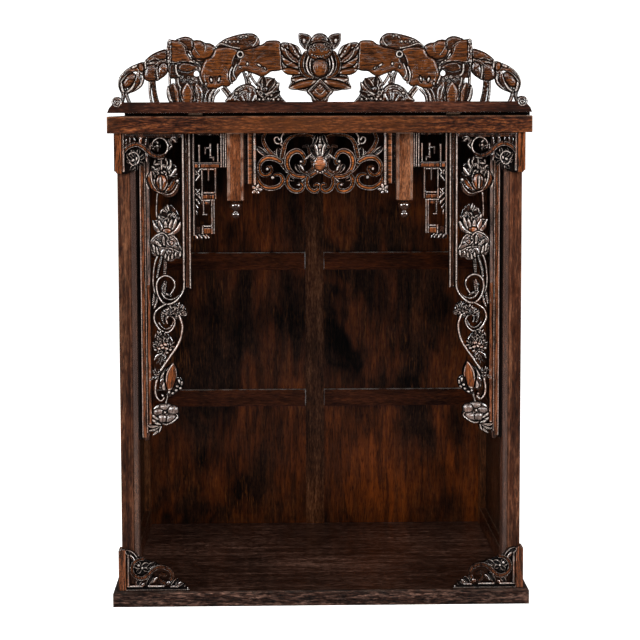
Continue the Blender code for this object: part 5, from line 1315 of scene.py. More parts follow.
def crest_middle_half(b):
    """One side of the tall lotus in the middle."""
    b.leaf([(-51.5, 22), (-48.5, 32), (-46.5, 42), (-34, 45), (-20, 44), (-6, 40), (0.5, 38), (0.5, 20),
        (-18, 16.5), (-36, 19)], 11.6, 2.5)
    b.petals(((-8, 37), (-47, 36.5), 16, 14.0, 0.12, "soft", 0.6, 0.6),
        ((-2, 33), (-51.5, 21.5), 15, 15.0, -0.05, "soft", 0.5, 0.8))
    b.line([(-50, 23), (-38, 20.6), (-22, 18.5)], 2.0, 1.0, 0.6)
    b.line([(0, 37.5), (-10, 28), (-20, 18)], 2.8, 1.8, 1.4)
    b.leaf([(-34.5, 113.0), (-34.5, 100), (-31, 92), (-23, 85), (-17, 92), (-14.0, 105), (-20, 110.5),
        (-28, 112)], 12.4, 3.0)
    b.line([(-33.6, 112), (-33.8, 101), (-30, 92), (-23.5, 85.5)], 2.4, 1.8, 0.9)
    b.line([(-14.8, 105), (-19, 97), (-22, 90), (-23.5, 85.5)], 2.0, 1.4, 0.8)
    b.ball(-26, 99.5, 4.0, 6.0, 14.8)
    b.leaf([(-23.5, 83.5), (-31, 74), (-35.2, 62), (-33, 50), (-26, 42), (-14, 37), (-2, 38), (-2, 72),
        (-14, 76)], 10.4, 3.0)
    b.band([(-22.5, 82.5), (-28.0, 73), (-30.8, 61.6), (-28.4, 50.5), (-21.5, 42.8), (-12, 38.8)],
        [2.4, 6.8, 8.8, 8.4, 6.0, 2.6], 14.6, "edged", 1.0)
    b.line([(-24.4, 82.5), (-31.4, 73), (-34.2, 61.6), (-32.0, 49.5), (-24.4, 41.0), (-13, 37.2)], 2.0, 1.6,
        0.3)
    b.line([(-20.5, 80), (-24.4, 72), (-26.6, 61.6), (-24.4, 51.4), (-18.2, 44.2), (-9, 40.5)], 1.8, 1.4,
        0.3)
    b.band([(-18, 75), (-21.4, 65), (-21.4, 54.5), (-17, 46), (-10, 40.5)], [2.6, 5.2, 6.0, 5.4, 2.6], 13.6,
        "soft", 0.2)
    b.band([(-13.5, 73), (-16.2, 64), (-15.6, 54), (-12, 45)], [2.0, 2.8, 3.0, 2.0], 13.8, "round")


def crest_board():
    """The whole crest above its rail."""
    b = Board(-341.0, 341.0, 0.02, 112.2, 0.8, 8.5, pen=0.8)
    for part in (crest_bud, crest_cluster, crest_upright, crest_low_lotus, crest_broad_leaf,
            crest_low_flower, crest_top_leaf, crest_wing):
        mirrored_halves(b, part)
    b.leaf([(-14, 92), (-14.5, 101), (-11, 108), (-5, 111.6), (0, 112), (5, 111.6), (11, 108), (14.5, 101),
        (14, 92)], 12.8, 7.0)
    b.grooves([[(-9, 103), (0, 105), (9, 103)], [(-6, 108), (0, 109), (6, 108)]], 1.6, 0.8)
    mirrored_halves(b, crest_middle_half)
    b.ball(0, 83, 21.5, 16.0, 14.2, tone=0.9)
    b.line([(-21, 86), (-18, 92), (-10, 97), (0, 98.6), (10, 97), (18, 92), (21, 86)], 2.8, 2.0, 1.2)
    for x, z in ((-14.5, 89), (-8, 92), (9, 93), (15, 88.5), (-9.5, 85), (-1.5, 89), (3, 84.5), (9.5, 86)):
        b.ring(x, z, 2.3, 1.5, 15.6, 12.0)
    for x, z in ((-13, 77), (-8.5, 75), (-4, 74), (0.5, 74), (5, 74.4), (9.5, 76), (13.5, 78), (16, 80)):
        b.ball(x, z, 1.3, 2.0, 15.2)
    b.leaf([(0, 39), (-11, 28), (-22, 17), (-15, 8), (-11, -0.5), (11, -0.5), (15, 8), (22, 17), (11, 28)],
        12.6, 3.0)
    b.leaf([(0, 30), (-8, 22), (-14, 14), (-6, 6), (0, 3), (6, 6), (14, 14), (8, 22)], 14.4, 4.0, tone=0.7)
    b.lines([[(-20, 18), (-13, 10), (-8, 2)], [(20, 18), (13, 10), (8, 2)], [(0, 37), (-10, 27), (-19, 18)],
        [(0, 37), (10, 27), (19, 18)], [(-9, 20), (0, 12), (9, 20)], [(-5, 26), (0, 22), (5, 26)]], 2.2, 1.4,
        1.0)
    b.ball(0.4, 55.5, 15.6, 16.4, 14.8, tone=1.0, kind="soft")
    b.lines([[(-9, 62), (-10.4, 55), (-7, 46)], [(9, 62), (10.4, 55), (7, 46)]], 2.2, 0.7, 0.9)
    b.grooves([[(-4, 69), (-5.5, 58), (-3, 45)], [(5, 69), (6.5, 58), (4, 45)]], 1.8, 0.8)
    return b


# The apron's middle panel
def centre_half(b):
    """One half of the middle panel: a moulded strip and leafy scrolls."""
    b.slab(-119.5, 0.5, -3.5, -0.2, b.ground)
    b.petals(((-84, -39), (-105.5, -21.5), 10, 13.2, 0.08, "cup"),
        ((-74, -46), (-75, -30), 8, 12.6, 0.2, "round"), ((-61, -50), (-69.5, -23.5), 13, 13.6, 0.08, "cup"))
    b.band([(-60.5, -1), (-64, -8), (-63.5, -15), (-68.5, -18), (-74, -15.5), (-75, -9), (-70, -7),
        (-67.5, -11.5)], [4.0, 3.8, 3.6, 3.6], 14.2, "round")
    b.petal((-67, -17), (-58, -24), 5, 13.4, 0.0, "round")
    b.band([(-63, -40), (-60.5, -29), (-57.5, -18), (-51.5, -9.5), (-42, -4.8), (-28, -3.2), (-16, -4.6),
        (-9.5, -10), (-8.5, -17), (-14, -23)], [7.5, 8, 7.5, 6.5, 5.5, 4.6, 4.6, 5.0, 5.0, 5.0], 14.2,
        "edged", 0.5)
    b.band([(-90.5, -0.5), (-94, -10), (-91, -20), (-84.5, -30), (-75, -39), (-66, -48), (-57.5, -58),
        (-50, -66), (-42, -71)], [6.0, 7.0, 7.5, 7.5, 7.0], 14.4, "edged", 0.5)
    b.band([(-65, -48), (-74, -43), (-84, -41), (-93, -43.5), (-99, -50), (-100.5, -58), (-98.5, -66),
        (-92, -70.5), (-84.5, -68.5), (-80, -62), (-82, -56), (-88, -56.5)],
        [8, 9.4, 9.6, 8.6, 7.4, 6.4, 6, 5.4, 5, 4.4], 15.2, "edged", 1.0)
    b.ball(-87.5, -59.5, 3.0, 3.4, 14.8)
    b.band([(-105, -70), (-102, -79), (-96, -86.5), (-87, -91), (-77, -91), (-67.5, -87.5), (-62, -80),
        (-63.5, -72), (-70, -68.5), (-76, -70), (-79, -74.5)], [5, 6.5, 7.6, 8.4, 8.6, 8.4, 8, 6.8, 5.6, 5],
        15.2, "edged", 1.0)
    b.ball(-78.5, -73.5, 3.6, 3.6, 15.6)
    b.petals(((-30, -66), (-40.5, -51), 9, 13.4, 0.1, "cup"),
        ((-27, -64), (-33, -52), 6, 14.0, 0.0, "round"))
    b.band([(-33, -58), (-29.5, -63.5), (-21.5, -65.8), (-14.5, -62), (-11.5, -55), (-13.5, -46),
        (-16.5, -37), (-18.5, -29), (-21, -21.5), (-27, -23)], [4.6, 5, 5.6, 5.6, 5, 5, 5, 4.6, 4.2], 14.4,
        "edged", 0.3)
    b.band([(-45, -68), (-51.5, -60), (-54.5, -51), (-53.5, -41.5), (-48.5, -34), (-40.5, -30),
        (-32.5, -31.5), (-27.3, -37.5), (-25, -45), (-27, -51), (-32.5, -49)],
        [7.6, 8.6, 9.4, 10, 10, 9.6, 8.2, 7, 5.8, 5], 15.6, "edged", 1.0)
    b.ball(-31.5, -47.5, 3.2, 3.0, 15.8)
    b.petal((-14, -34), (-26, -44), 6, 14.6, 0.1, "round")
    b.band([(-51, -65), (-42, -70.5), (-29.5, -72.6), (-16.5, -71), (-7.5, -66), (-2.5, -62.5)],
        [6, 7.6, 7.8, 7.2, 6], 14.8, "edged", 0.9)
    b.petals(((-55, -70), (-41.5, -79), 7, 13.6, -0.15, "cup"),
        ((-24, -74), (-31.5, -81.5), 5.5, 13.6, 0.1, "round"))
    b.band([(-51, -70), (-54.5, -78.5), (-53, -87.5), (-47, -94), (-38.5, -96.4), (-31, -94), (-28.5, -87.5),
        (-32, -83), (-37, -85.5)], [6, 7, 7.6, 8.2, 8.2, 7.2, 6, 5], 15.2, "edged", 1.0)
    b.ball(-35.5, -85.5, 2.8, 2.8, 15.6)
    b.band([(-20, -73), (-22, -81), (-20, -89.5), (-14, -95.5), (-7, -96.4), (-1.8, -91), (-4.5, -85),
        (-9, -87)], [6, 6.6, 7.2, 7.8, 7.4, 6.2, 5], 15.2, "edged", 1.0)
    b.petals(((-3, -44), (-17.5, -38), 8, 14.0, 0.15, "round"), ((-3, -42), (-15, -27), 9, 14.2, 0.1, "cup"),
        ((-3, -38), (-8, -18), 8, 14.6, 0.05, "round"), ((-12, -20), (-5, -2), 8, 13.6, -0.1, "cup"))
    b.slab(-126.4, -119.5, -84.0, -0.2, b.ground)
    b.slab(-119.5, -111.0, -84.0, -0.2, 12.0, tone=0.5)
    b.slab(-111.0, -105.2, -86.0, -0.2, 10.4, 15.4, "round")
    flower(b, -105.0, -93.5, 9.2, 5, 14.8)


def centre_board():
    """The whole middle panel with the bud where its halves meet."""
    b = Board(-126.4, 126.4, -100.5, -0.3, 0.6, 9.0)
    mirrored_halves(b, centre_half)
    b.petal((0, -36), (0, -5), 9, 14.2, 0.0, "keel")
    b.ball(0, -21.5, 4.2, 5.0, 15.0)
    b.ball(0, -51, 10.6, 14.0, 14.4, tone=0.75, kind="soft", low=11.4)
    for v in (-42, -46, -50, -54, -58):
        b.groove([(-7.5, v), (0, v + 1.2), (7.5, v)], 1.1, 0.5)
    b.beads([(-8.0, -62), (0, -66), (8.0, -62)], 2.0, 4.2, 15.4, low=11.0)
    return b


# The key frets beside the pendants
def fret_bars(b, low):
    """Flat bars of the fret, with the wider ones coloured by the varnish."""
    bars = [(-214.1, -207.0, -170.0, -0.3), (-214.1, -154.0, -3.5, -0.3), (-202.0, -197.8, -57.0, -19.0),
        (-208.0, -154.0, -57.0, -48.0), (-165.5, -154.0, -57.0, -0.3), (-208.0, -197.0, -78.0, -57.0),
        (-197.5, -193.0, -109.0, -57.0), (-175.5, -170.5, -109.0, -57.0), (-208.0, -170.5, -109.0, -97.0),
        (-208.0, -175.0, -118.0, -109.0), (-181.5, -174.5, -167.0, -109.0), (-208.0, -174.5, -167.0, -155.0),
        (-211.0, -185.0, -176.0, -167.0)]
    for x0, x1, z0, z1 in bars:
        b.slab(x0, x1, z0, z1, low)
    for x0, x1, z0 in ((-201.6, -198.2, -20.0), (-183.2, -179.6, -18.0), (-170.6, -167.4, -18.0)):
        b.slab(x0, x1, z0, -3.5, 3.0)
    for x0, x1, z0, z1 in ((-207.5, -166.5, -57.0, -50.5), (-196.0, -172.0, -108.5, -101.5),
            (-196.5, -182.5, -118.0, -113.0), (-195.0, -181.0, -166.5, -156.5)):
        b.slab(x0, x1, z0, z1, low, 11.2, "flat", "X", tone=0.8)


def fret_board():
    """One key fret of moulded bars with slips of leaf between them."""
    b = Board(-214.1, -154.0, -176.0, -0.3, 0.6, 8.5)
    fret_bars(b, b.ground + 1.0)
    for base, tip in (((-199, -60), (-206.5, -69)), ((-206.5, -62), (-199, -72)),
            ((-199, -69), (-206.5, -79)), ((-207, -91), (-199, -102)), ((-199, -92), (-206.5, -101)),
            ((-207, -99), (-197, -110)), ((-207, -108), (-199, -119)), ((-206.5, -118), (-202, -127)),
            ((-206, -127), (-204, -136))):
        b.petal(base, tip, 4.6, 12.0, 0.1, "round")
    for x0, x1, z0, z1, along in ((-211.4, -207.2, -170.0, -0.3, "Z"), (-201.8, -198.0, -57.0, -19.0, "Z"),
            (-165.5, -161.7, -57.0, -0.3, "Z"), (-161.0, -158.4, -57.0, -0.3, "Z"),
            (-157.8, -154.1, -57.0, -0.3, "Z"), (-183.4, -179.4, -38.5, -17.0, "Z"),
            (-191.5, -179.5, -26.0, -22.6, "X"), (-191.5, -188.0, -35.0, -22.6, "Z"),
            (-183.4, -174.8, -42.5, -38.2, "X"), (-177.6, -174.6, -46.5, -38.2, "Z"),
            (-170.8, -167.2, -49.0, -17.0, "Z"), (-208.0, -165.5, -50.2, -47.8, "X"),
            (-199.0, -171.0, -61.6, -57.8, "X"), (-197.4, -193.4, -109.0, -58.0, "Z"),
            (-175.6, -171.0, -109.0, -57.5, "Z"), (-186.8, -182.8, -79.0, -58.0, "Z"),
            (-193.0, -175.0, -100.2, -96.6, "X"), (-197.0, -175.0, -112.8, -109.2, "X"),
            (-181.6, -177.4, -167.0, -110.0, "Z"), (-177.2, -174.6, -167.0, -110.0, "Z"),
            (-195.2, -191.4, -134.0, -112.0, "Z"), (-195.2, -187.0, -136.4, -132.6, "X"),
            (-197.0, -180.0, -155.6, -152.0, "X"), (-197.0, -193.0, -167.0, -152.0, "Z")):
        b.slab(x0, x1, z0, z1, b.ground, 12.5, "round", along)
    for x in (-206, -199, -192, -187):
        b.petal((x - 3, -168), (x + 3, -175), 5.0, 12.0, 0.1, "round")
    return b


# The corner brackets. X and height in millimetres, from the top board's underside or the base's top
def bracket_top_board():
    """One upper corner bracket: an ear on the post, a strip and a leafy scroll."""
    b = Board(-339.5, -226.0, -66.5, -0.3, 0.6, 3.0)
    high = 8.4
    b.leaf([(-326, -26), (-326, -66), (-316, -65), (-306, -60), (-294, -50), (-283, -37), (-290, -24),
        (-308, -20)], 4.0, 2.0)
    for base, tip, width, bend in (((-303, -46), (-318, -33), 7, 0.3), ((-306, -48), (-319, -45), 6, 0.2),
            ((-305, -50), (-313, -60), 7, 0.1), ((-301, -50), (-302, -62), 6, -0.2),
            ((-298, -48), (-291, -54), 7, 0.2), ((-299, -42), (-289, -33), 7, -0.3),
            ((-305, -38), (-309, -26), 7, 0.2), ((-300, -36), (-298, -25), 6, 0.0)):
        b.petal(base, tip, width, 7.2, bend, "cup")
    b.band([(-314, -34), (-308, -31), (-301, -34), (-298, -42), (-302, -50), (-309, -52), (-314, -47)], 3.2,
        7.8)
    b.balls((-308, -44, 3.6, 3.0, 8.3, 30), (-302, -41.5, 2.6, 3.8, 8.2, -20), (-304, -51, 2.4, 2.4, 8.0))
    b.petals(((-297, -20), (-294.5, -3), 7, 8.2, 0.0, "round"),
        ((-305, -19), (-306, -5), 5, 6.4, 0.0, "round"), ((-313, -22), (-313, -4), 6, 6.4, 0.0, "soft"),
        ((-320, -26), (-319, -8), 5, 6.2, 0.0, "round"), ((-288, -24), (-285, -6), 4, 6.0, 0.0, "round"),
        ((-285.5, -46), (-286, -28), 7, 8.3, 0.0, "round"))
    b.band([(-280, -27), (-279, -18), (-273, -14)], 3.0, 6.6)
    tangle(b, [(-279, -26), (-276, -15), (-266, -16), (-262, -26), (-270, -31)], 14, 6.0, 7.0, (-262, -20),
        31)
    b.balls((-276.5, -20.5, 2.6, 2.0, 8.2, 20), (-267.5, -20.5, 3.0, 2.0, 8.2, -20))
    b.petal((-252, -30), (-243, -19), 6, 7.0, 0.0, "soft")
    tangle(b, [(-250, -12), (-243, -4), (-232, -3), (-236, -14), (-243, -19)], 16, 6.4, 7.6, (-252, -16), 37)
    b.petals(((-247, -10), (-226.5, -2.5), 6, 7.6, 0.1, "soft"),
        ((-243, -9), (-236.5, -14.5), 5, 8.4, 0.0, "round"))
    b.band([(-264, -37.5), (-254.5, -32.5), (-250.6, -22), (-255, -11.5), (-264, -7.5), (-273.5, -12),
        (-277, -20)], [4.6, 4.0, 3.6, 3.2, 3.0, 2.8, 2.2], high)
    b.band([(-323, -31), (-316, -22.5), (-303, -18.0), (-292, -22), (-283, -30.5), (-274, -36.5),
        (-263, -38.0), (-256, -35.0)], [5, 7.0, 7.6, 7.6, 7.6, 7.0, 6.0, 4.0], high - 0.3, "edged", 0.8)
    b.slab(-326.0, -228.0, -7.0, -0.2, 5.4, 6.6)
    b.slab(-326.0, -226.5, -3.2, -0.2, 5.4, 7.8, "round", "X")
    b.leaf([(-339.5, -0.2), (-339.5, -60), (-335, -66), (-327, -66), (-327, -0.2)], 7.8, 1.2, sharp=True,
        tone=0.8, low=6.8)
    b.slab(-326.6, -321.4, -63.0, -0.2, 3.6, 8.4, "round")
    return b


def bracket_foot_board():
    """One lower corner bracket: an ear on the post and a leafy scroll that falls to the base."""
    b = Board(-340.5, -222.0, 0.3, 73.0, 0.6, 3.0)
    high = 8.4
    b.leaf([(-327, 68), (-327, 44), (-306, 26), (-290, 32), (-270, 41), (-276, 46), (-290, 51), (-304, 56),
        (-318, 62)], 4.4, 2.0)
    b.petals(((-309, 52), (-330, 69), 12, 8.0, -0.1, "cup"), ((-312, 51), (-321, 62), 7, 8.2, 0.1, "round"))
    for base, tip, width in (((-304, 40), (-315, 45), 8), ((-304, 42), (-307, 50), 7),
            ((-302, 40), (-289, 46), 10), ((-303, 38), (-311, 31), 8), ((-300, 37), (-291, 34), 7)):
        b.petal(base, tip, width, 7.6, 0.12, "cup")
    b.balls((-307, 43.5, 3.6, 3.4, 8.3), (-301, 39, 3.2, 3.0, 8.0))
    b.petals(((-292, 40), (-277, 48.5), 9, 8.0, 0.05, "cup"), ((-288, 38), (-270, 44), 7, 7.6, 0.0, "round"),
        ((-311, 8), (-302, 21), 9, 7.4, 0.1, "cup"), ((-304, 6), (-297, 14), 7, 8.0, 0.0, "round"),
        ((-293, 8), (-281, 28), 9, 7.6, 0.1, "cup"), ((-284, 14), (-275, 24), 7, 8.2, 0.0, "round"),
        ((-256, 10), (-247, 20), 9, 7.6, 0.1, "cup"), ((-250, 8), (-240, 20.5), 9, 7.8, 0.05, "cup"),
        ((-243, 5), (-236, 16), 8, 8.2, 0.0, "round"), ((-238, 3), (-229, 12), 8, 7.6, 0.0, "cup"),
        ((-232, 2), (-223, 4.5), 5.5, 7.2, 0.0, "round"))
    b.slab(-340.0, -222.5, 0.2, 3.0, 4.0, 7.6, "round", "X")
    b.slab(-327.0, -302.0, 5.4, 10.4, b.ground, 8.0, "round", "X")
    b.slab(-292.0, -264.0, 5.4, 10.4, b.ground, 8.0, "round", "X")
    b.slab(-327.0, -226.0, 2.0, 6.4, 4.2)
    b.slab(-254.0, -241.0, 4.4, 9.4, b.ground, 7.4, "round", "X")
    b.band([(-299, 54.5), (-308, 53), (-316, 46.5), (-318.5, 37.5), (-315.5, 28), (-306.5, 22),
        (-297.5, 22.5), (-290, 28.5), (-283, 35.5), (-274, 40.5), (-264, 40), (-255, 35), (-251, 26.5),
        (-253.5, 17.5), (-261, 12.5), (-269, 15.5), (-272.5, 22.5), (-268.5, 28), (-263, 26)],
        [5, 5.6, 6.4, 6.6, 6.8, 7.4, 8, 7.6, 7, 7, 6.6, 6.4, 6.2, 6.2, 6, 5.6, 5, 4.6], high, "edged", 0.7)
    b.ball(-257.5, 13.5, 5.0, 4.0, 8.4, 20)
    b.leaf([(-340.5, 0.2), (-340.5, 67), (-335.5, 73), (-328, 69), (-328, 0.2)], 7.8, 1.2, sharp=True,
        tone=0.6, low=6.8)
    b.slab(-327.0, -322.0, 8.0, 62.0, 3.6, 8.2, "round")
    return b


# The crest's rail
def rail_board():
    """The crest's rail seen from the front, with sloping shoulders."""
    height, thickness = 17.65, 18.4
    b = Board(-349.5, 349.5, -height, 0.0, 0.8, thickness)
    outline = [(349.5, -height), (346.2, -9.5), (341.0, -4.0), (338.0, 0.0)]
    outline += [(-x, z) for x, z in reversed(outline)]
    b.leaf(outline, thickness, 1.0, sharp=True)
    return b


def volute_board():
    """The small volute at the rail's left end, which lies over its shoulder."""
    b = Board(-342.6, -323.4, -9.2, 9.4, 0.6, 1.2)
    b.ball(-333, 0.0, 8.8, 8.8, 2.2, kind="flat")
    b.band(arc(-333, 0.0, 7.0, 40, 400), 2.8, 3.2, sides=1)
    b.band([(-327.5, 4.2), (-330.5, 5.4), (-335.5, 3.4), (-336.2, -1.0), (-333, -3.4), (-330.2, -1.2),
        (-331.4, 1.4), (-333.4, 1.0)], [2.8, 2.6, 2.4, 2.2], 3.2)
    return b


# Straight and turned work, in metres
def prism(section, start, stop):
    """A closed bar along Z with a section of (x, y) points that run anticlockwise seen from above."""
    count = len(section)
    points = [(x, y, z) for z in (start, stop) for x, y in section]
    faces = [(i, (i + 1) % count, count + (i + 1) % count, count + i) for i in range(count)]
    faces += [tuple(reversed(range(count))), tuple(range(count, 2 * count))]
    return points, faces


def turned(outline, x, y, steps=48):
    """A closed turned solid from (radius, z) points that run downwards and end on its axis."""
    angles = [2 * math.pi * k / steps for k in range(steps)]
    points = [(x + radius * math.cos(a), y + radius * math.sin(a), z)
              for radius, z in outline[1:-1] for a in angles]
    rings = len(outline) - 2
    faces = [(r * steps + k, (r + 1) * steps + k, (r + 1) * steps + (k + 1) % steps,
              r * steps + (k + 1) % steps) for r in range(rings - 1) for k in range(steps)]
    top, bottom = len(points), len(points) + 1
    points += [(x, y, outline[0][1]), (x, y, outline[-1][1])]
    last = (rings - 1) * steps
    faces += [(top, k, (k + 1) % steps) for k in range(steps)]
    faces += [(bottom, last + (k + 1) % steps, last + k) for k in range(steps)]
    return points, faces


def solid(name, shells, material, body, *nodes):
    """One piece from closed shells, in place of its nodes."""
    points, faces = [], []
    for shell_points, shell_faces in shells:
        start = len(points)
        points += shell_points
        faces += [tuple(start + i for i in face) for face in shell_faces]
    item = mesh_object(name, points, faces, material, SOLID_SHARP_ANGLE)
    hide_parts(*nodes)
    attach(item, body)
    return item


def corner(x, y, radius, start, stop, steps=5):
    """Points round a corner, in millimetres and degrees."""
    return [(x + radius * math.cos(math.radians(a)), y + radius * math.sin(math.radians(a)))
            for a in np.linspace(start, stop, steps)]


def placed(section, x, sign):
    """A section in millimetres from a front outer corner, carried to its place on one side of the frame."""
    moved = [(x + sign * u * MM, FRONT_Y + w * MM) for u, w in section]
    return moved if sign > 0 else moved[::-1]


def make_posts(material):
    """The front posts, flat with a quirk and a half round bead down the inner edge."""
    front, back, width, quirk = 14.0, 46.0, 30.0, 1.9
    section = corner(1.0, front + 1.0, 1.0, 180, 270)
    section += [(19.2, front), (19.5, front + quirk), (20.4, front + quirk)]
    section += corner(25.1, front + 4.7, 4.7, 200, 358, 14)
    section += [(width, front + 5.2), (width, back), (0.0, back)]
    z0, z1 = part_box("front_post_left")[0].z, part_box("front_post_left")[1].z
    for word, x, sign in (("left", -POST_OUTER_X, 1), ("right", POST_OUTER_X, -1)):
        shells = [prism(placed(section, x, sign), z0, z1)]
        item = solid(f"front_post_{word}_moulded", shells, material, "cabinet", f"front_post_{word}")


def make_pendants(material):
    """The square pendants with beads on their corners and a turned drop below."""
    low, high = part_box("pendant_left")
    front = (low.y - FRONT_Y) / MM
    width = (high.x - low.x) / MM
    back = (high.y - FRONT_Y) / MM
    bead, quirk, soft = 1.35, 3.2, 1.0
    section = corner(bead, front + bead, bead, 180, 350, 9)
    section += [(quirk, front + 2.0), (quirk + 0.4, front + 0.7)]
    section += [(width - quirk - 0.4, front + 0.7), (width - quirk, front + 2.0)]
    section += corner(width - bead, front + bead, bead, 190, 360, 9)
    section += corner(width - soft, back - soft, soft, 0, 90) + corner(soft, back - soft, soft, 90, 180)
    drop = [(0, -109), (7.4, -109), (7.5, -112.6), (6.6, -113.6), (6.2, -114.6), (7.0, -115.6), (9.0, -116.8),
            (10.3, -119.0), (10.6, -121.5), (10.0, -124.2), (8.2, -126.8), (5.6, -128.6), (4.7, -129.8),
            (5.2, -131.0), (6.9, -132.2), (8.1, -134.2), (8.3, -136.4), (7.5, -138.6), (5.6, -140.6),
            (3.2, -142.2), (1.2, -142.8), (0, -142.9)]
    drop = [(r * MM, UNDERSIDE_Z + v * MM) for r, v in drop]
    for word, x, sign in (("left", low.x, 1), ("right", -low.x, -1)):
        post = prism(placed(section, x, sign), UNDERSIDE_Z - 111.5 * MM, high.z)
        turning = turned(drop, x + sign * width / 2 * MM, (low.y + high.y) / 2)
        item = solid(f"pendant_{word}_turned", [post, turning], material, "cabinet", f"pendant_{word}")


# Pieces
def ear_return(x_outer, z_edge, reach):
    """The ear's return along the post's outer side, as a closed plate on the left."""
    x_inner = -POST_OUTER_X - EAR_GAP
    tip = z_edge + reach * MM
    shoulder = z_edge + (reach - math.copysign(5.0, reach)) * MM
    outline = [(EAR_FRONT_MM, z_edge), (EAR_FRONT_MM, tip), (EAR_BACK_MM - 4.0, tip), (EAR_BACK_MM, shoulder),
               (EAR_BACK_MM, z_edge)]
    outline = [(FRONT_Y + d * MM, z) for d, z in outline]
    if reach > 0:
        outline = outline[::-1]
    count = len(outline)
    points = [(x, y, z) for x in (x_outer, x_inner) for y, z in outline]
    faces = [((i + 1) % count, i, count + i, count + (i + 1) % count) for i in range(count)]
    faces += [tuple(range(count)), tuple(reversed(range(count, 2 * count)))]
    return points, faces


def append_shell(item, shell, mirror):
    """Adds a closed shell to a carved piece."""
    points, faces = shell
    if mirror:
        points = [(-x, y, z) for x, y, z in points]
        faces = [tuple(reversed(face)) for face in faces]
    extra = bpy.data.meshes.new("return")
    extra.from_pydata(points, [], faces)
    for name, value in (("rise", 0.55), ("wear_and_highlight", 0.0), ("hollow", 0.0), ("tone", 0.9)):
        store(extra, name, np.full(len(points), value))
    extra.materials.append(item.data.materials[0])
    other = bpy.data.objects.new("return", extra)
    bpy.context.scene.collection.objects.link(other)
    with bpy.context.temp_override(active_object=item, selected_editable_objects=[item, other]):
        bpy.ops.object.join()
    bpy.data.meshes.remove(extra)


def pair(board, stem, x_origin, setback, z_origin, material, shell=None):
    """A carved board on the left and its mirror image on the right."""
    for word, mirror in (("left", False), ("right", True)):
        x = -x_origin if mirror else x_origin
        item = board.piece(f"{stem}_{word}_carved", setback, x, z_origin, material, mirror)
        if shell is not None:
            append_shell(item, shell, mirror)
        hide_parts(f"{stem}_{word}")
        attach(item, "cabinet")


def make_carvings(rail_wood):
    """Every openwork piece, each in place of its plain solid."""
    # From the painted shade of the hollows through the middle and a painted grey sheen on the rises to the
    # pale wear and painted highlight of the ridges.
    shade_to_highlight_colours = (rgb(10, 5, 3), rgb(42, 22, 14), rgb(108, 84, 74), rgb(212, 196, 186))
    wood_dark = carved_wood("carved rosewood", *shade_to_highlight_colours, rgb(142, 78, 36), rub_and_highlight=(0.24, 0.78), weak=0.5)
    wood_upright = carved_wood("carved rosewood upright", *shade_to_highlight_colours, rgb(108, 56, 24), axis="Z",
                               rub_and_highlight=(0.42, 1.0), weak=0.3)
    # The crest's near white ridge colour is wear with a painted highlight.
    wood_crest = carved_wood("carved rosewood crest", rgb(14, 6, 3), rgb(45, 22, 9), rgb(85, 46, 19),
                             rgb(230, 220, 212), rgb(87, 45, 15), pit_shade=0.1, sparkle=0.2, shade=(0.3, 1.0),
                             rub_and_highlight=(0.55, 1.05), scale=1.7, skin_ior=1.85, weak=0.35)
    pair(side_board(), "apron_side", -POST_INNER_X, APRON_SETBACK, UNDERSIDE_Z, wood_upright)
    pair(fret_board(), "key_fret", 0.0, FRET_SETBACK, UNDERSIDE_Z, wood_upright)
    pair(bracket_top_board(), "bracket_top", 0.0, BRACKET_SETBACK, UNDERSIDE_Z, wood_upright,
         ear_return(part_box("bracket_top_left")[0].x, UNDERSIDE_Z - EAR_GAP, TOP_EAR_REACH_MM))
    pair(bracket_foot_board(), "bracket_foot", 0.0, BRACKET_SETBACK, BASE_Z, wood_upright,
         ear_return(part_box("bracket_foot_left")[0].x, BASE_Z + EAR_GAP, FOOT_EAR_REACH_MM))
    item = centre_board().piece("apron_centre_carved", APRON_SETBACK, 0.0, UNDERSIDE_Z, wood_dark)
    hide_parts("apron_centre")
    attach(item, "cabinet")
    item = crest_board().piece("crest_carving_carved", CREST_SETBACK, 0.0, RAIL_TOP_Z, wood_crest)
    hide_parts("crest_carving")
    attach(item, "crest")
    item = rail_board().piece("crest_rail_moulded", RAIL_SETBACK, 0.0, RAIL_TOP_Z, rail_wood)
    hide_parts("crest_rail")
    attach(item, "crest")
    volute = volute_board()
    for word, mirror in (("left", False), ("right", True)):
        item = volute.piece(f"crest_volute_{word}", VOLUTE_SETBACK, 0.0, RAIL_TOP_Z, wood_dark, mirror)
        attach(item, "crest")


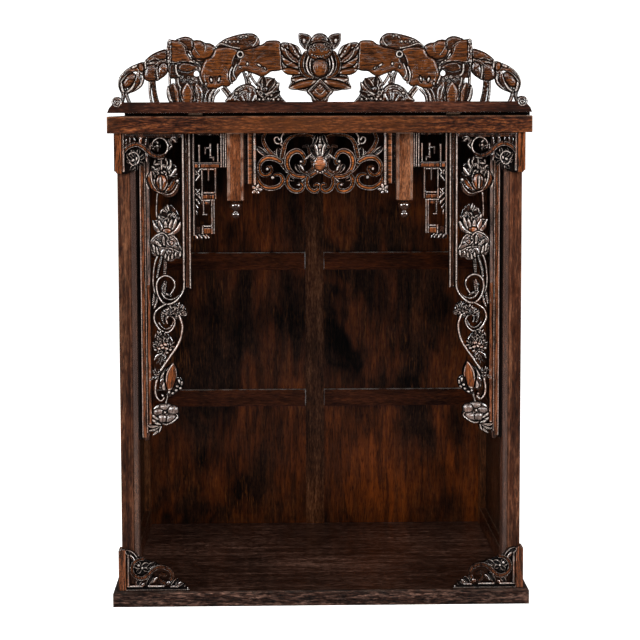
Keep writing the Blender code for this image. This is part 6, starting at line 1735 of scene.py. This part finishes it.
def plain_woods():
    """The materials of the straight work, by the kind of piece."""
    # Painted shade: darker towards the top, where the top board shades the inside. The back's outer faces are
    # made darker.
    painted_top_shade = (("Z", 0.62, 0.73, 1.0, 0.1),)
    outside = (("Y", BACK_Y - 0.0175, BACK_Y - 0.0085, 1.0, 0.4),)
    # Each edge colour is worn varnish with a painted highlight on the upper edges; the frame's near white
    # edge is mostly painted highlight.
    return {
        "slab": wood("rosewood slab", "X", rgb(24, 9, 4), rgb(60, 27, 12), rgb(104, 57, 29), contrast=1.2,
                     edge=rgb(176, 132, 102), specked=0.75, fine=0.6,
                     patches=(rgb(116, 64, 28), 0.3, 6.0, 0.0)),
        "rail": wood("rosewood rail", "X", rgb(26, 10, 5), rgb(56, 26, 14), rgb(88, 50, 34), shift=(3, 1, 2)),
        # The floor is painted darker where it faces up and lighter towards the back, as painted shade and
        # light.
        "base": wood("rosewood base", "X", rgb(16, 8, 5), rgb(46, 27, 20), rgb(104, 76, 64), 0.36,
                     shift=(7, 1, 5), coat=0.5, specked=0.7, pores=0.75, edge=rgb(156, 134, 120), fine=0.6,
                     place_tints=(("up", 0.2, 0.9, 1.0, 0.58), ("Y", -0.2, 0.2, 1.0, 4.4))),
        # The post on the right is made lighter by a tint across X; the bead gets a full coat and a painted
        # grey sheen.
        "post": wood("rosewood post", "Z", rgb(34, 13, 5), rgb(60, 30, 16), rgb(104, 66, 44), shift=(2, 5, 1),
                     edge=rgb(130, 82, 58), polished=("X", 0.3150, 0.3142, rgb(84, 66, 60), 0.4),
                     place_tints=(("X", -0.3, 0.3, 1.0, 1.22),)),
        # The pendant on the right is made darker by a tint across X.
        "pendant": wood("rosewood pendant", "Z", rgb(66, 30, 12), rgb(92, 48, 22), rgb(140, 88, 58),
                        edge=rgb(216, 184, 164), specked=0.6, blotch=0.15,
                        place_tints=(("X", -0.1, 0.1, 1.0, 0.74),),
                        polished=("Z", UNDERSIDE_Z - 0.112, UNDERSIDE_Z - 0.1135, rgb(34, 16, 9), 0.85)),
        "back": wood("back panels", "Z", rgb(27, 16, 11), rgb(58, 33, 21), rgb(96, 55, 30), 0.4, blotch=0.72,
                     shift=(1, 9, 4), patches=(rgb(204, 98, 26), 0.74, 9.0, 0.8), place_tints=painted_top_shade + outside,
                     contrast=0.9, scuffs=rgb(214, 122, 48)),
        "side": wood("side panels", "Z", rgb(20, 12, 9), rgb(38, 24, 17), rgb(64, 42, 30), 0.4, blotch=0.5,
                     shift=(8, 2, 3), patches=(rgb(104, 56, 26), 0.25, 6.0, 0.4), place_tints=painted_top_shade),
        "side rail": wood("side rails", "Y", rgb(24, 10, 5), rgb(48, 23, 12), rgb(88, 46, 24), 0.36,
                          shift=(2, 8, 6), place_tints=painted_top_shade, edge=rgb(150, 124, 104)),
        "frame": wood("back frame", "X", rgb(26, 10, 5), rgb(62, 28, 12), rgb(118, 58, 24), 0.36,
                      shift=(6, 2, 8), patches=(rgb(164, 76, 20), 0.6, 7.0, 0.6), place_tints=painted_top_shade + outside,
                      edge=rgb(255, 246, 232)),
        # The batten is painted nearly black, as the shade in its gap.
        "shaded_batten": wood("crest batten in painted shade", "X", rgb(6, 3, 2), rgb(12, 7, 4), rgb(22, 12, 8), coat=0.1),
        "stile": wood("back stile", "Z", rgb(54, 28, 15), rgb(104, 60, 34), rgb(154, 96, 60), 0.36,
                      shift=(6, 7, 3), place_tints=painted_top_shade + outside),
        "iron": hinge_iron(),
    }


def kind_of(name):
    """Which material a solid wears, from its name."""
    exact = {"top_board": "slab", "base_board": "base", "crest_batten": "shaded_batten"}
    if name in exact:
        return exact[name]
    if name.startswith("hinge"):
        return "iron"
    if "panel" in name:
        return "side" if name.startswith("side") else "back"
    if name.startswith("side") and "rail" in name:
        return "side rail"
    return "stile" if "stile" in name else "frame"


def dress_frame():
    """Every carving and moulding, and materials and softened edges for the solids that keep their shape."""
    face = plain_woods()
    make_carvings(face["rail"])
    make_posts(face["post"])
    make_pendants(face["pendant"])
    for name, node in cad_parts.items():
        if node.hide_render:
            continue
        key = kind_of(name)
        node.data.materials.clear()
        node.data.materials.append(face[key])
        if key != "iron":
            bevel = node.modifiers.new("soft edge", "BEVEL")
            in_back = key == "frame" and name.startswith("back")
            bevel.width = BACK_FRAME_ROUNDING if in_back else EDGE_ROUNDING
            bevel.segments = 2
            bevel.limit_method = "ANGLE"
            bevel.angle_limit = math.radians(35.0)
            bevel.use_clamp_overlap = True


make_camera()
make_studio()
dress_frame()
